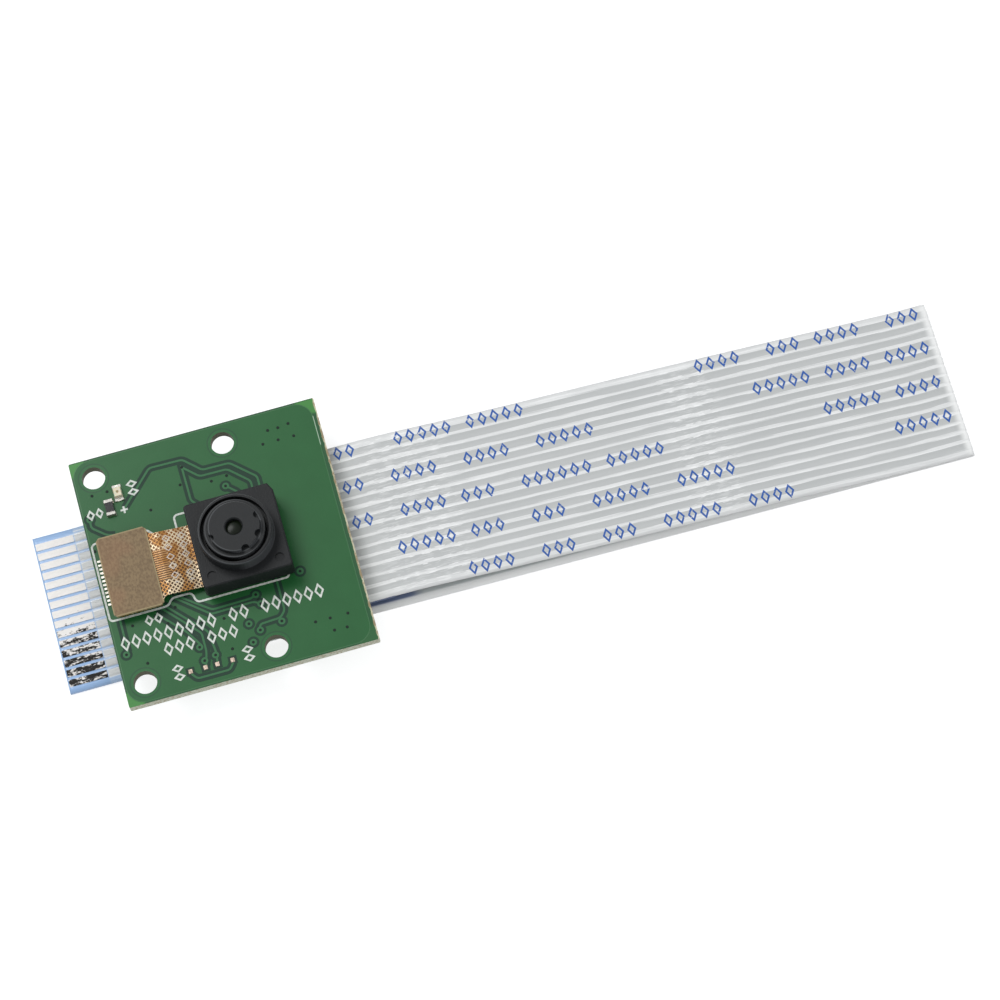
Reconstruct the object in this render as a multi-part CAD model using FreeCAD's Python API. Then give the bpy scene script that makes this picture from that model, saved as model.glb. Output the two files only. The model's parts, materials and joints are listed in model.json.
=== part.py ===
import FreeCAD, Part
import math
import os

V = FreeCAD.Vector

# All sizes are in millimetres.
# The origin is the centre of the four mounting holes, on the board's top face.
# X runs along the ribbon, away from the board, Y across it, and Z out through the lens.

# Circuit board and its four mounting holes
board_length = 23.862
board_width = 25.0
board_thickness = 1.0
board_corner_radius = 0.15
hole_pitch_x = 12.5
hole_radius = 1.1
hole_edge_distance = 2.0

# Foam pad, stiffener and flexible circuit under the sensor
sensor_center_x = 5.5
sensor_center_y = 0.0
pad_size = 7.6
pad_thickness = 0.25
base_size = 8.2
base_thickness = 0.25
flex_thickness = 0.12
flex_sensor_size = 8.3
flex_neck_width = 6.3
flex_neck_radius = 0.5
flex_slope_start = 0.9
flex_slope_length = 2.6
flex_bend_radius = 1.2
flex_corner_radius = 0.3

# Board-to-board connector under the flexible circuit's stiffened tab
tab_center_x = -5.05
tab_length = 4.8
tab_width = 8.0
tab_corner_cut = 0.3
tab_stiffener_thickness = 0.2
socket_length = 4.0
socket_width = 6.6
socket_height = 0.78
socket_floor = 0.25
socket_wall = 0.7
socket_end_wall = 0.6
socket_lip = 0.15
plug_clearance = 0.05
plug_flange_thickness = 0.14
plug_rise = 0.02
fine_pitch = 0.4
fine_contact_count = 12
fine_contact_width = 0.2
fine_contact_thickness = 0.1
fine_foot_length = 0.75

# Lens holder: a square block with a round collar
holder_size = 8.5
holder_block_height = 2.33
holder_corner_radius = 0.35
holder_index_cut = 0.8
holder_edge_radius = 0.15
lens_offset_x = -0.1
collar_radius = 3.5
collar_height = 1.65
collar_bore_radius = 3.2
collar_bore_depth = 0.8
collar_edge = 0.12
thread_radius = 2.9
sensor_room = 6.6
sensor_room_height = 1.17
filter_seat_clearance = 0.05
web_thickness = 0.3
web_window_x = 4.4
web_window_y = 3.6
pin_mark_radius = 0.45
pin_mark_depth = 0.14
pin_mark_inset = 1.02

# Image sensor and infrared filter
chip_length = 5.7
chip_width = 4.8
chip_thickness = 0.45
filter_length = 5.6
filter_width = 5.0
filter_thickness = 0.21

# Lens barrel with its notched front disc
barrel_radius = 2.85
barrel_lift = 0.15
barrel_ledge_height = 0.15
disc_radius = 2.45
disc_height = 0.55
disc_edge = 0.06
notch_radius = 0.38
notch_angles = (13.0, -32.0, -77.0, -167.0)
front_wall = 0.5
stop_radius = 0.78
stop_flare = 0.1
front_bore_radius = 1.6
middle_bore_radius = 1.9
rear_bore_radius = 2.2
lens_clearance = 0.03
front_lens_thickness = 0.42
middle_lens_thickness = 0.5
rear_lens_thickness = 0.62
front_lens_sag = 0.14
middle_lens_sag = 0.1
rear_lens_sag = 0.08
lens_rim_width = 0.35
spacer_thickness = 0.12
retainer_thickness = 0.3
retainer_wall = 0.5

# Status light and its resistor, on the board's top face
light_x = -4.38
light_edge_distance = 4.14
light_length = 1.6
light_width = 0.82
light_base_thickness = 0.2
light_lens_length = 1.0
light_lens_height = 0.35
light_lens_draft = 0.08
light_terminal_length = 0.28
light_resistor_x = -5.45
light_resistor_edge_distance = 5.4

# Chip parts: length, width, height and the length of their metal ends
resistor_length = 1.6
resistor_width = 0.82
resistor_height = 0.42
capacitor_length = 1.6
capacitor_width = 0.8
capacitor_height = 0.75
chip_end_length = 0.3
chip_end_skin = 0.03

# Places of the chip parts on the underside, counted in steps of the placement grid, with the angle
# of the long side. Some keep to the board's edge, some to its middle and some to the connector's back.
placement_grid = 0.1
edge_capacitors = ((-10, 29, 0), (16, 29, 0), (-10, 46, 0))
middle_capacitors = ((-12, 36, 90), (-12, -12, 90), (-12, -60, 90))
connector_capacitors = ((43, 54, 0), (43, -70, 0))
edge_resistors = ((18, 51, 0),)
middle_resistors = ((20, -84, 0), (-69, -56, 90))
connector_resistors = ((33, 26, 90), (47, 26, 90), (61, 26, 90))
regulator_steps = ((-44, 66), (-44, 17), (-44, -32))
transistor_steps = (-40, -82)

# Voltage regulators and the light's driver transistor
package_width = 1.6
package_length = 2.9
package_height = 1.1
package_standoff = 0.06
package_draft = 0.1
lead_width = 0.4
lead_thickness = 0.15
lead_span = 2.8
lead_pitch = 0.95
lead_foot = 0.4
lead_exit_share = 0.5

# Clock oscillator
oscillator_x = 3.2
oscillator_y = -4.3
oscillator_length = 3.2
oscillator_width = 2.5
oscillator_base_height = 0.5
oscillator_lid_height = 0.3
oscillator_lid_inset = 0.2
oscillator_corner_radius = 0.25

# Ribbon cable: film with flat conductors at an even pitch, folded back under the board
ribbon_length = 150.0
ribbon_edge_margin = 0.65
conductor_count = 15
conductor_pitch = 1.0
conductor_width = 0.7
band_thickness = 0.22
web_film_thickness = 0.14
band_slope = 0.1
backing_thickness = 0.09
bare_length = 3.8
bare_tip = 0.12
bare_contact_thickness = 0.05
film_seam = 0.01
end_stiffener_length = 6.9
end_stiffener_thickness = 0.2
ribbon_overhang = 5.2
fold_inner_radius = 0.05
upper_drift = -1.4
lower_drift = 1.1
gentle_radius = 55.0
bend_room = 2.6
dip_distance = 8.5
dip_depth = 0.5
hump_distance = 29.0
hump_depth = 0.42
level_distance = 4.0

# Ribbon connector: housing, sliding latch, contacts and anchor tabs
housing_depth = 4.6
housing_side_wall = 0.85
housing_height = 2.6
housing_setback = 0.75
housing_edge = 0.15
slot_side_clearance = 0.15
slot_top_wall = 0.9
slot_floor_wall = 0.6
slot_back_wall = 0.75
ribbon_depth_below_board = 1.3
ribbon_insertion = 3.7
ribbon_connector_gap = 0.03
contact_groove_width = 0.42
contact_width = 0.3
contact_beam = 0.22
contact_foot_length = 0.8
contact_foot_thickness = 0.18
contact_gap = 0.03
contact_droop = 0.25
contact_tip_setback = 1.3
groove_roof = 0.35
groove_front_wall = 0.9
latch_bar_depth = 0.55
latch_clearance = 0.05
latch_tongue_thickness = 0.3
latch_tongue_reach = 2.6
latch_arm_width = 0.7
latch_arm_height = 0.75
latch_arm_reach = 3.0
latch_foot_gap = 0.1
anchor_thickness = 0.2
anchor_length = 1.9
anchor_setback = 1.2
anchor_foot_width = 0.9
anchor_height = 1.5

# How far a cutting shape runs past the face that it opens, and how deep a joined one sinks in
cut_margin = 1.0
join_depth = 0.1

# Derived places
hole_pitch_y = board_width - 2 * hole_edge_distance
board_left = -hole_pitch_x / 2 - hole_edge_distance
board_right = board_left + board_length
underside = -board_thickness

pad_top = pad_thickness
base_top = pad_top + base_thickness
flex_low_top = base_top + flex_thickness
holder_foot = flex_low_top
block_top = holder_foot + holder_block_height
collar_top = block_top + collar_height
lens_x = sensor_center_x + lens_offset_x
lens_y = sensor_center_y
web_bottom = holder_foot + sensor_room_height + filter_thickness
web_top = web_bottom + web_thickness
barrel_bottom = web_top + barrel_lift
ledge_top = collar_top + barrel_ledge_height
disc_top = ledge_top + disc_height

plug_flange_bottom = socket_height + plug_rise
plug_top = plug_flange_bottom + plug_flange_thickness
tab_flex_top = plug_top + flex_thickness
tab_stiffener_top = tab_flex_top + tab_stiffener_thickness

housing_front = board_right - housing_setback
housing_back = housing_front - housing_depth
housing_bottom = underside - housing_height
slot_top = underside - slot_top_wall
slot_bottom = housing_bottom + slot_floor_wall
slot_back = housing_back + slot_back_wall
ribbon_width = (conductor_count - 1) * conductor_pitch + conductor_width + 2 * ribbon_edge_margin
slot_half_width = ribbon_width / 2 + slot_side_clearance
arm_inner = slot_half_width + latch_clearance
arm_outer = arm_inner + latch_arm_width
housing_width = 2 * (arm_outer + latch_clearance + housing_side_wall + anchor_thickness)
ribbon_end_x = housing_front - ribbon_insertion
ribbon_high = underside - ribbon_depth_below_board
free_end_x = board_left - ribbon_overhang
fold_radius = fold_inner_radius + band_thickness / 2
half_band = band_thickness / 2
lower_at_connector = housing_bottom - ribbon_connector_gap - half_band
light_y = board_width / 2 - light_edge_distance
light_resistor_y = board_width / 2 - light_resistor_edge_distance


def box(x0, x1, y0, y1, z0, z1):
    return Part.makeBox(x1 - x0, y1 - y0, z1 - z0, V(x0, y0, z0))


def centered_box(cx, cy, length, width, z0, z1):
    return box(cx - length / 2, cx + length / 2, cy - width / 2, cy + width / 2, z0, z1)


def cylinder(cx, cy, radius, z0, z1):
    return Part.makeCylinder(radius, z1 - z0, V(cx, cy, z0))


def face_of(points):
    return Part.Face(Part.makePolygon(list(points) + [points[0]]))


def vertical_edges(solid):
    found = []
    for edge in solid.Edges:
        low, high = edge.BoundBox.ZMin, edge.BoundBox.ZMax
        upright = edge.BoundBox.XLength < 1e-6 and edge.BoundBox.YLength < 1e-6
        if high - low > 1e-6 and upright:
            found.append(edge)
    return found


def rounded_block(cx, cy, length, width, z0, z1, radius):
    block = centered_box(cx, cy, length, width, z0, z1)
    return block.makeFillet(radius, vertical_edges(block))


def edges_at_height(solid, height):
    return [edge for edge in solid.Edges
            if abs(edge.BoundBox.ZMin - height) < 1e-6 and abs(edge.BoundBox.ZMax - height) < 1e-6]


def tapered_block(cx, cy, length, width, z0, z1, draft):
    # A moulded block whose four sides lean in by the draft between z0 and z1.
    corners = ((-1, -1), (1, -1), (1, 1), (-1, 1))
    low = [V(cx + sx * length / 2, cy + sy * width / 2, z0) for sx, sy in corners]
    high = [V(cx + sx * (length / 2 - draft), cy + sy * (width / 2 - draft), z1) for sx, sy in corners]
    wires = [Part.makePolygon(low + [low[0]]), Part.makePolygon(high + [high[0]])]
    return Part.makeLoft(wires, True, True)


def plate_in_y(outline, y0, y1):
    # A profile given as x and z points, made into a plate that runs along Y.
    return face_of([V(x, y0, z) for x, z in outline]).extrude(V(0, y1 - y0, 0))


def cut_all(solid, tools):
    return solid.cut(Part.makeCompound(tools))


def turned(solid, cx, cy, angle):
    result = solid.copy()
    result.rotate(V(cx, cy, 0), V(0, 0, 1), angle)
    return result


def save(name, shapes):
    solids = shapes if isinstance(shapes, list) else [shapes]
    loose = [solid for shape in solids for solid in shape.Solids]
    shape = loose[0] if len(loose) == 1 else Part.makeCompound(loose)
    shape.exportStep("parts/%s.step" % name)
    print("%-34s %3d solids %10.4f mm3 valid %s" % (name, len(loose), shape.Volume, shape.isValid()))


def make_circuit_board():
    board = box(board_left, board_right, -board_width / 2, board_width / 2, underside, 0)
    board = board.makeFillet(board_corner_radius, vertical_edges(board))
    holes = []
    for x in (-hole_pitch_x / 2, hole_pitch_x / 2):
        for y in (-hole_pitch_y / 2, hole_pitch_y / 2):
            holes.append(cylinder(x, y, hole_radius, underside - cut_margin, cut_margin))
    return cut_all(board, holes)


def make_foam_pad():
    return rounded_block(sensor_center_x, sensor_center_y, pad_size, pad_size, 0, pad_top, flex_corner_radius)


def make_sensor_base():
    return rounded_block(sensor_center_x, sensor_center_y, base_size, base_size, pad_top, base_top,
                         flex_corner_radius)


def make_sensor_flex():
    # Two level stretches, one on the socket's plug and one on the sensor's stiffener,
    # with a sloping neck between them that bends by an arc at each end.
    tab_end = tab_center_x + tab_length / 2
    slope_x = tab_end + flex_slope_start
    slope_end = slope_x + flex_slope_length
    pad_start = sensor_center_x - flex_sensor_size / 2
    high = tab_flex_top - flex_thickness / 2
    low = flex_low_top - flex_thickness / 2
    corners = [(tab_end, high), (slope_x, high), (slope_end, low), (pad_start + flex_corner_radius, low)]
    neck = swept_strip(corners, flex_bend_radius, flex_thickness, flex_neck_width)
    tab = centered_box(tab_center_x, 0, tab_length, tab_width, plug_top, tab_flex_top)
    tab = tab.makeChamfer(tab_corner_cut, vertical_edges(tab))
    pad = rounded_block(sensor_center_x, sensor_center_y, flex_sensor_size, flex_sensor_size,
                        base_top, flex_low_top, flex_corner_radius)
    flex = neck.fuse(tab).fuse(pad)
    for side in (-1, 1):
        flex = flex.fuse(neck_web(tab_end, side))
    return flex.removeSplitter()


def neck_web(tab_end, side):
    # The concave quarter round that joins the neck to the wider tab.
    edge = side * flex_neck_width / 2
    radius = flex_neck_radius
    web = box(tab_end - radius / 2, tab_end + radius, min(edge, edge + side * radius),
              max(edge, edge + side * radius), plug_top, tab_flex_top)
    return web.cut(cylinder(tab_end + radius, edge + side * radius, radius, plug_top - cut_margin,
                            tab_flex_top + cut_margin))


def swept_strip(corners, radius, thickness, width):
    # A strip of even thickness along x and z corners, with an arc at each inner corner.
    pieces = route_pieces(corners, [radius] * (len(corners) - 2))
    half = thickness / 2
    section = [(-width / 2, -half), (width / 2, -half), (width / 2, half), (-width / 2, half)]
    return sweep_section(section, pieces)


def route_pieces(corners, radii):
    # Straight runs joined by tangent arcs: ("line", start, end) or ("arc", start, center, turn).
    pieces = []
    here = corners[0]
    for index, radius in enumerate(radii):
        before, corner, after = corners[index], corners[index + 1], corners[index + 2]
        heading_in = math.atan2(corner[1] - before[1], corner[0] - before[0])
        heading_out = math.atan2(after[1] - corner[1], after[0] - corner[0])
        turn = heading_out - heading_in
        back = radius * math.tan(abs(turn) / 2)
        arc_start = (corner[0] - back * math.cos(heading_in), corner[1] - back * math.sin(heading_in))
        side = 1 if turn > 0 else -1
        center = (arc_start[0] - side * radius * math.sin(heading_in),
                  arc_start[1] + side * radius * math.cos(heading_in))
        pieces.append(("line", here, arc_start))
        pieces.append(("arc", arc_start, center, turn))
        here = (corner[0] + back * math.cos(heading_out), corner[1] + back * math.sin(heading_out))
    pieces.append(("line", here, corners[-1]))
    return pieces


def sweep_section(section, pieces, drifts=None):
    # Carries a closed section, given as sideways and normal offsets, along a route in the XZ plane.
    # A drift moves a straight run sideways over its length, as a ribbon that lies slightly askew.
    drifts = drifts or {}
    heading = math.atan2(pieces[0][2][1] - pieces[0][1][1], pieces[0][2][0] - pieces[0][1][0])
    side = 0.0
    faces = []
    ring = place_section(section, pieces[0][1], heading, side)
    first_ring = ring
    for index, piece in enumerate(pieces):
        if piece[0] == "line":
            drift = drifts.get(index, 0.0)
            move = V(piece[2][0] - piece[1][0], drift, piece[2][1] - piece[1][1])
            side += drift
            for a, b in zip(ring, ring[1:] + ring[:1]):
                faces.append(face_of([a, b, b + move, a + move]))
            ring = [point + move for point in ring]
        else:
            center = V(piece[2][0], 0, piece[2][1])
            turn = piece[3]
            for a, b in zip(ring, ring[1:] + ring[:1]):
                faces.append(Part.makeLine(a, b).revolve(center, V(0, -1, 0), math.degrees(turn)))
            heading += turn
            ring = [rotate_about_y(point, center, turn) for point in ring]
    faces.append(face_of(first_ring))
    faces.append(face_of(ring))
    shell = Part.makeShell(faces)
    shell.sewShape()
    return positive_solid(shell)


def positive_solid(shell):
    solid = Part.Solid(shell.Shells[0] if shell.Shells else shell)
    if solid.Volume < 0:
        solid.reverse()
    return solid


def place_section(section, point, heading, side):
    return [V(point[0] - normal * math.sin(heading), side + across, point[1] + normal * math.cos(heading))
            for across, normal in section]


def rotate_about_y(point, center, turn):
    dx, dz = point.x - center.x, point.z - center.z
    return V(center.x + dx * math.cos(turn) - dz * math.sin(turn), point.y,
             center.z + dx * math.sin(turn) + dz * math.cos(turn))


def make_tab_stiffener():
    plate = centered_box(tab_center_x, 0, tab_length, tab_width, tab_flex_top, tab_stiffener_top)
    return plate.makeChamfer(tab_corner_cut, vertical_edges(plate))


def fine_contact_rows():
    span = (fine_contact_count - 1) * fine_pitch
    return [-span / 2 + index * fine_pitch for index in range(fine_contact_count)]


def make_board_socket():
    body = centered_box(tab_center_x, 0, socket_length, socket_width, 0, socket_height)
    body = body.makeFillet(flex_corner_radius / 2, vertical_edges(body))
    well = centered_box(tab_center_x, 0, socket_length - 2 * socket_wall, socket_width - 2 * socket_end_wall,
                        socket_floor, socket_height + cut_margin)
    tools = [well]
    groove = fine_contact_width + plug_clearance
    for y in fine_contact_rows():
        for side in (-1, 1):
            outer = tab_center_x + side * (socket_length / 2 + cut_margin)
            inner = tab_center_x + side * (socket_length / 2 - socket_wall / 2)
            tools.append(box(min(outer, inner), max(outer, inner), y - groove / 2, y + groove / 2,
                             -1, socket_height - socket_lip))
    return cut_all(body, tools)


def make_socket_contacts():
    # Each contact is a foot on the board and an upright in the socket's side wall.
    contacts = []
    top = socket_height - socket_lip - plug_clearance
    thickness = fine_contact_thickness
    for y in fine_contact_rows():
        for side in (-1, 1):
            wall = tab_center_x + side * (socket_length / 2 - socket_wall / 2)
            tip = tab_center_x + side * (socket_length / 2 + fine_foot_length)
            outline = [(wall, 0), (tip, 0), (tip, thickness), (wall + side * thickness, thickness),
                       (wall + side * thickness, top), (wall, top)]
            contacts.append(plate_in_y(outline, y - fine_contact_width / 2, y + fine_contact_width / 2))
    return contacts


def make_flex_plug():
    well_length = socket_length - 2 * socket_wall
    well_width = socket_width - 2 * socket_end_wall
    stem = centered_box(tab_center_x, 0, well_length - 2 * plug_clearance - 2 * fine_contact_thickness,
                        well_width - 2 * plug_clearance, socket_floor + plug_clearance, plug_flange_bottom)
    flange = centered_box(tab_center_x, 0,
                          socket_length - 2 * plug_clearance, socket_width - 2 * plug_clearance,
                          plug_flange_bottom, plug_top)
    hollow = centered_box(tab_center_x, 0, well_length / 3, well_width - 2 * socket_end_wall, socket_floor,
                          plug_flange_bottom)
    return stem.fuse(flange).cut(hollow).removeSplitter()


def make_plug_contacts():
    contacts = []
    half = (socket_length - 2 * socket_wall) / 2 - plug_clearance
    for y in fine_contact_rows():
        for side in (-1, 1):
            outer = tab_center_x + side * half
            inner = tab_center_x + side * (half - fine_contact_thickness)
            contacts.append(box(min(outer, inner), max(outer, inner), y - fine_contact_width / 2,
                                y + fine_contact_width / 2, socket_floor + 2 * plug_clearance,
                                plug_flange_bottom))
    return contacts


def holder_outline():
    # A square with three rounded corners and one cut corner, which shows which way round it goes.
    half = holder_size / 2
    r = holder_corner_radius
    cut_x, cut_y = holder_index_cut / 2, holder_index_cut
    cx, cy = sensor_center_x, sensor_center_y
    turn = r * (1 - math.sqrt(0.5))
    edges = [
        Part.makeLine(V(cx - half + r, cy - half, 0), V(cx + half - r, cy - half, 0)),
        Part.Arc(V(cx + half - r, cy - half, 0), V(cx + half - turn, cy - half + turn, 0),
                 V(cx + half, cy - half + r, 0)).toShape(),
        Part.makeLine(V(cx + half, cy - half + r, 0), V(cx + half, cy + half - cut_y, 0)),
        Part.makeLine(V(cx + half, cy + half - cut_y, 0), V(cx + half - cut_x, cy + half, 0)),
        Part.makeLine(V(cx + half - cut_x, cy + half, 0), V(cx - half + r, cy + half, 0)),
        Part.Arc(V(cx - half + r, cy + half, 0), V(cx - half + turn, cy + half - turn, 0),
                 V(cx - half, cy + half - r, 0)).toShape(),
        Part.makeLine(V(cx - half, cy + half - r, 0), V(cx - half, cy - half + r, 0)),
        Part.Arc(V(cx - half, cy - half + r, 0), V(cx - half + turn, cy - half + turn, 0),
                 V(cx - half + r, cy - half, 0)).toShape(),
    ]
    return Part.Face(Part.Wire(edges))


def make_lens_holder():
    block = holder_outline().extrude(V(0, 0, holder_block_height))
    block.translate(V(0, 0, holder_foot))
    block = block.makeFillet(holder_edge_radius, edges_at_height(block, block_top))
    collar = cylinder(lens_x, lens_y, collar_radius, block_top - join_depth, collar_top)
    collar = collar.makeChamfer(collar_edge, edges_at_height(collar, collar_top))
    holder = block.fuse(collar)
    room = centered_box(sensor_center_x, sensor_center_y, sensor_room, sensor_room, holder_foot - cut_margin,
                        holder_foot + sensor_room_height)
    room = room.makeFillet(holder_corner_radius, vertical_edges(room))
    filter_seat = centered_box(lens_x, lens_y, filter_length + 2 * filter_seat_clearance,
                               filter_width + 2 * filter_seat_clearance, holder_foot, web_bottom)
    window = centered_box(lens_x, lens_y, web_window_x, web_window_y, holder_foot, web_top + join_depth)
    bore = cylinder(lens_x, lens_y, thread_radius, web_top, collar_top + cut_margin)
    counterbore = cylinder(lens_x, lens_y, collar_bore_radius, collar_top - collar_bore_depth,
                           collar_top + cut_margin)
    marks = []
    for side in (-1, 1):
        marks.append(cylinder(sensor_center_x + side * (holder_size / 2 - pin_mark_inset),
                              sensor_center_y - holder_size / 2 + pin_mark_inset,
                              pin_mark_radius, block_top - pin_mark_depth, block_top + cut_margin))
    return cut_all(holder, [room, filter_seat, window, bore, counterbore] + marks).removeSplitter()


def make_lens_barrel():
    body = cylinder(lens_x, lens_y, barrel_radius, barrel_bottom, ledge_top)
    disc = cylinder(lens_x, lens_y, disc_radius, ledge_top - join_depth, disc_top)
    disc = disc.makeChamfer(disc_edge, edges_at_height(disc, disc_top))
    inner_top = disc_top - front_wall
    lens_levels = barrel_levels()
    bores = [
        cylinder(lens_x, lens_y, front_bore_radius, lens_levels["front"][0], inner_top),
        cylinder(lens_x, lens_y, middle_bore_radius, lens_levels["middle"][0], lens_levels["front"][0]),
        cylinder(lens_x, lens_y, rear_bore_radius, barrel_bottom - cut_margin, lens_levels["middle"][0]),
        cylinder(lens_x, lens_y, stop_radius, inner_top - join_depth, disc_top + cut_margin),
        Part.makeCone(stop_radius, stop_radius + stop_flare, stop_flare,
                      V(lens_x, lens_y, disc_top - stop_flare)),
    ]
    for angle in notch_angles:
        x = lens_x + disc_radius * math.cos(math.radians(angle))
        y = lens_y + disc_radius * math.sin(math.radians(angle))
        bores.append(cylinder(x, y, notch_radius, ledge_top, disc_top + cut_margin))
    return cut_all(body.fuse(disc), bores).removeSplitter()


def barrel_levels():
    # Bottom and top of each lens and spacer, stacked down from the barrel's front wall.
    top = disc_top - front_wall
    levels = {}
    for name, thickness in (("front", front_lens_thickness), ("front_spacer", spacer_thickness),
                            ("middle", middle_lens_thickness), ("rear_spacer", spacer_thickness),
                            ("rear", rear_lens_thickness), ("retainer", retainer_thickness)):
        levels[name] = (top - thickness, top)
        top -= thickness
    return levels


def lens_arc(start_radius, end_radius, level, sag):
    # Half of a lens face: an arc between the rim, at the given level, and the axis, where it has the sag.
    rim = max(start_radius, end_radius)
    ball = (rim * rim + sag * sag) / (2 * abs(sag))
    half = rim / 2
    middle = level + sag - math.copysign(ball - math.sqrt(ball * ball - half * half), sag)
    ends = {0: level + sag, rim: level}
    return Part.Arc(V(lens_x + start_radius, lens_y, ends[start_radius]), V(lens_x + half, lens_y, middle),
                    V(lens_x + end_radius, lens_y, ends[end_radius])).toShape()


def make_lens(level, radius, top_curve, top_sag, bottom_sag):
    # A moulded lens: a flat rim that seats in the barrel, and a curved middle on each face.
    bottom, top = level
    bottom_curve = radius - lens_rim_width
    corners = {"bottom": V(lens_x + radius, lens_y, bottom), "top": V(lens_x + radius, lens_y, top)}
    edges = [
        Part.makeLine(corners["bottom"], corners["top"]),
        Part.makeLine(corners["top"], V(lens_x + top_curve, lens_y, top)),
        lens_arc(top_curve, 0, top, top_sag),
        Part.makeLine(V(lens_x, lens_y, top + top_sag), V(lens_x, lens_y, bottom + bottom_sag)),
        lens_arc(0, bottom_curve, bottom, bottom_sag),
        Part.makeLine(V(lens_x + bottom_curve, lens_y, bottom), corners["bottom"]),
    ]
    return Part.Face(Part.Wire(edges)).revolve(V(lens_x, lens_y, 0), V(0, 0, 1), 360)


def make_lenses():
    levels = barrel_levels()
    front = front_bore_radius - lens_clearance
    middle = middle_bore_radius - lens_clearance
    rear = rear_bore_radius - lens_clearance
    front_curve = stop_radius - lens_clearance
    return {
        "front_lens": make_lens(levels["front"], front, front_curve, front_lens_sag, middle_lens_sag / 2),
        "middle_lens": make_lens(levels["middle"], middle, middle - lens_rim_width, -middle_lens_sag,
                                 middle_lens_sag),
        "rear_lens": make_lens(levels["rear"], rear, rear - lens_rim_width, rear_lens_sag, rear_lens_sag),
    }


def make_ring(level, outer, inner):
    return cylinder(lens_x, lens_y, outer, level[0], level[1]).cut(
        cylinder(lens_x, lens_y, inner, level[0] - cut_margin, level[1] + cut_margin))


def make_lens_rings():
    levels = barrel_levels()
    middle = middle_bore_radius - lens_clearance
    rear = rear_bore_radius - lens_clearance
    return {
        "front_lens_spacer": make_ring(levels["front_spacer"], middle, middle - lens_rim_width),
        "rear_lens_spacer": make_ring(levels["rear_spacer"], rear, rear - lens_rim_width),
        "lens_retaining_ring": make_ring(levels["retainer"], rear, rear - retainer_wall),
    }


def make_image_sensor():
    return centered_box(lens_x, lens_y, chip_length, chip_width, flex_low_top, flex_low_top + chip_thickness)


def make_infrared_filter():
    low = web_bottom - filter_thickness
    return centered_box(lens_x, lens_y, filter_length, filter_width, low, web_bottom)


def make_status_light():
    base = centered_box(light_x, light_y, light_width - 2 * chip_end_skin,
                        light_length - 2 * light_terminal_length, 0, light_base_thickness)
    lens = tapered_block(light_x, light_y, light_width, light_lens_length, light_base_thickness,
                         light_base_thickness + light_lens_height, light_lens_draft)
    terminals = []
    for side in (-1, 1):
        inner = light_y + side * (light_length / 2 - light_terminal_length)
        outer = light_y + side * light_length / 2
        bar = box(light_x - light_width / 2, light_x + light_width / 2, min(inner, outer), max(inner, outer),
                  0, light_base_thickness)
        terminals.append(bar.cut(cylinder(light_x, outer, light_width / 5, -cut_margin, cut_margin)))
    return base, lens, terminals


def make_chip(cx, cy, angle, length, width, height, face_z, up):
    # A chip part and its two metal ends; up is 1 on the board's top face and -1 on its underside.
    low, high = (face_z, face_z + height) if up > 0 else (face_z - height, face_z)
    skin = chip_end_skin
    body = centered_box(cx, cy, length - 2 * chip_end_length, width - 2 * skin, low + skin, high - skin)
    ends = []
    for side in (-1, 1):
        inner = cx + side * (length / 2 - chip_end_length)
        outer = cx + side * length / 2
        end = box(min(inner, outer), max(inner, outer), cy - width / 2, cy + width / 2, low, high)
        end = end.makeFillet(skin, [edge for edge in end.Edges
                                    if abs(edge.CenterOfMass.x - outer) < 1e-6])
        ends.append(turned(end, cx, cy, angle))
    return turned(body, cx, cy, angle), ends


def make_package(cx, cy, left_rows, right_rows):
    # A small moulded package on the underside with gull-wing leads on its two long sides.
    top = underside - package_standoff
    middle = top - package_height * lead_exit_share
    bottom = top - package_height
    upper = tapered_block(cx, cy, package_width, package_length, middle, top, package_draft)
    lower = tapered_block(cx, cy, package_width, package_length, middle, bottom, package_draft)
    body = upper.fuse(lower).removeSplitter()
    leads = []
    for side, rows in ((-1, left_rows), (1, right_rows)):
        for row in rows:
            leads.append(gull_wing(cx, cy + row * lead_pitch, side, middle))
    return body, leads


def gull_wing(cx, cy, side, exit_z):
    # Out of the body level, down beside it and out again as a foot on the board's underside.
    body = cx + side * package_width / 2
    tip = cx + side * lead_span / 2
    knee = tip - side * lead_foot
    t = lead_thickness
    foot = underside
    outline = [(body, exit_z), (knee - side * t / 2, exit_z), (knee, exit_z), (knee + side * t / 2, foot - t),
               (tip, foot - t), (tip, foot), (knee - side * t / 2, foot), (knee - side * t, exit_z + t),
               (body, exit_z + t)]
    return plate_in_y(outline, cy - lead_width / 2, cy + lead_width / 2)


def make_oscillator():
    low = underside - oscillator_base_height
    base = rounded_block(oscillator_x, oscillator_y, oscillator_length, oscillator_width, low, underside,
                         oscillator_corner_radius)
    lid = rounded_block(oscillator_x, oscillator_y, oscillator_length - 2 * oscillator_lid_inset,
                        oscillator_width - 2 * oscillator_lid_inset, low - oscillator_lid_height, low,
                        oscillator_corner_radius)
    lid = lid.makeFillet(oscillator_lid_height / 3, edges_at_height(lid, low - oscillator_lid_height))
    return base, lid


def conductor_rows():
    span = (conductor_count - 1) * conductor_pitch
    return [-span / 2 + index * conductor_pitch for index in range(conductor_count)]


def ribbon_section():
    # The film stands a little thicker over each flat conductor, on both faces.
    half_web = web_film_thickness / 2
    half_top = conductor_width / 2
    foot = half_top + band_slope
    lower = [(-ribbon_width / 2, -half_web)]
    for row in conductor_rows():
        lower += [(row - foot, -half_web), (row - half_top, -half_band),
                  (row + half_top, -half_band), (row + foot, -half_web)]
    lower.append((ribbon_width / 2, -half_web))
    upper = [(across, -normal) for across, normal in reversed(lower)]
    return lower + upper


def fold_start():
    # The fold lies where the ribbon's whole length is used up, half of it on each side.
    return (ribbon_length - math.pi * fold_radius + ribbon_end_x + free_end_x) / 2


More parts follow.
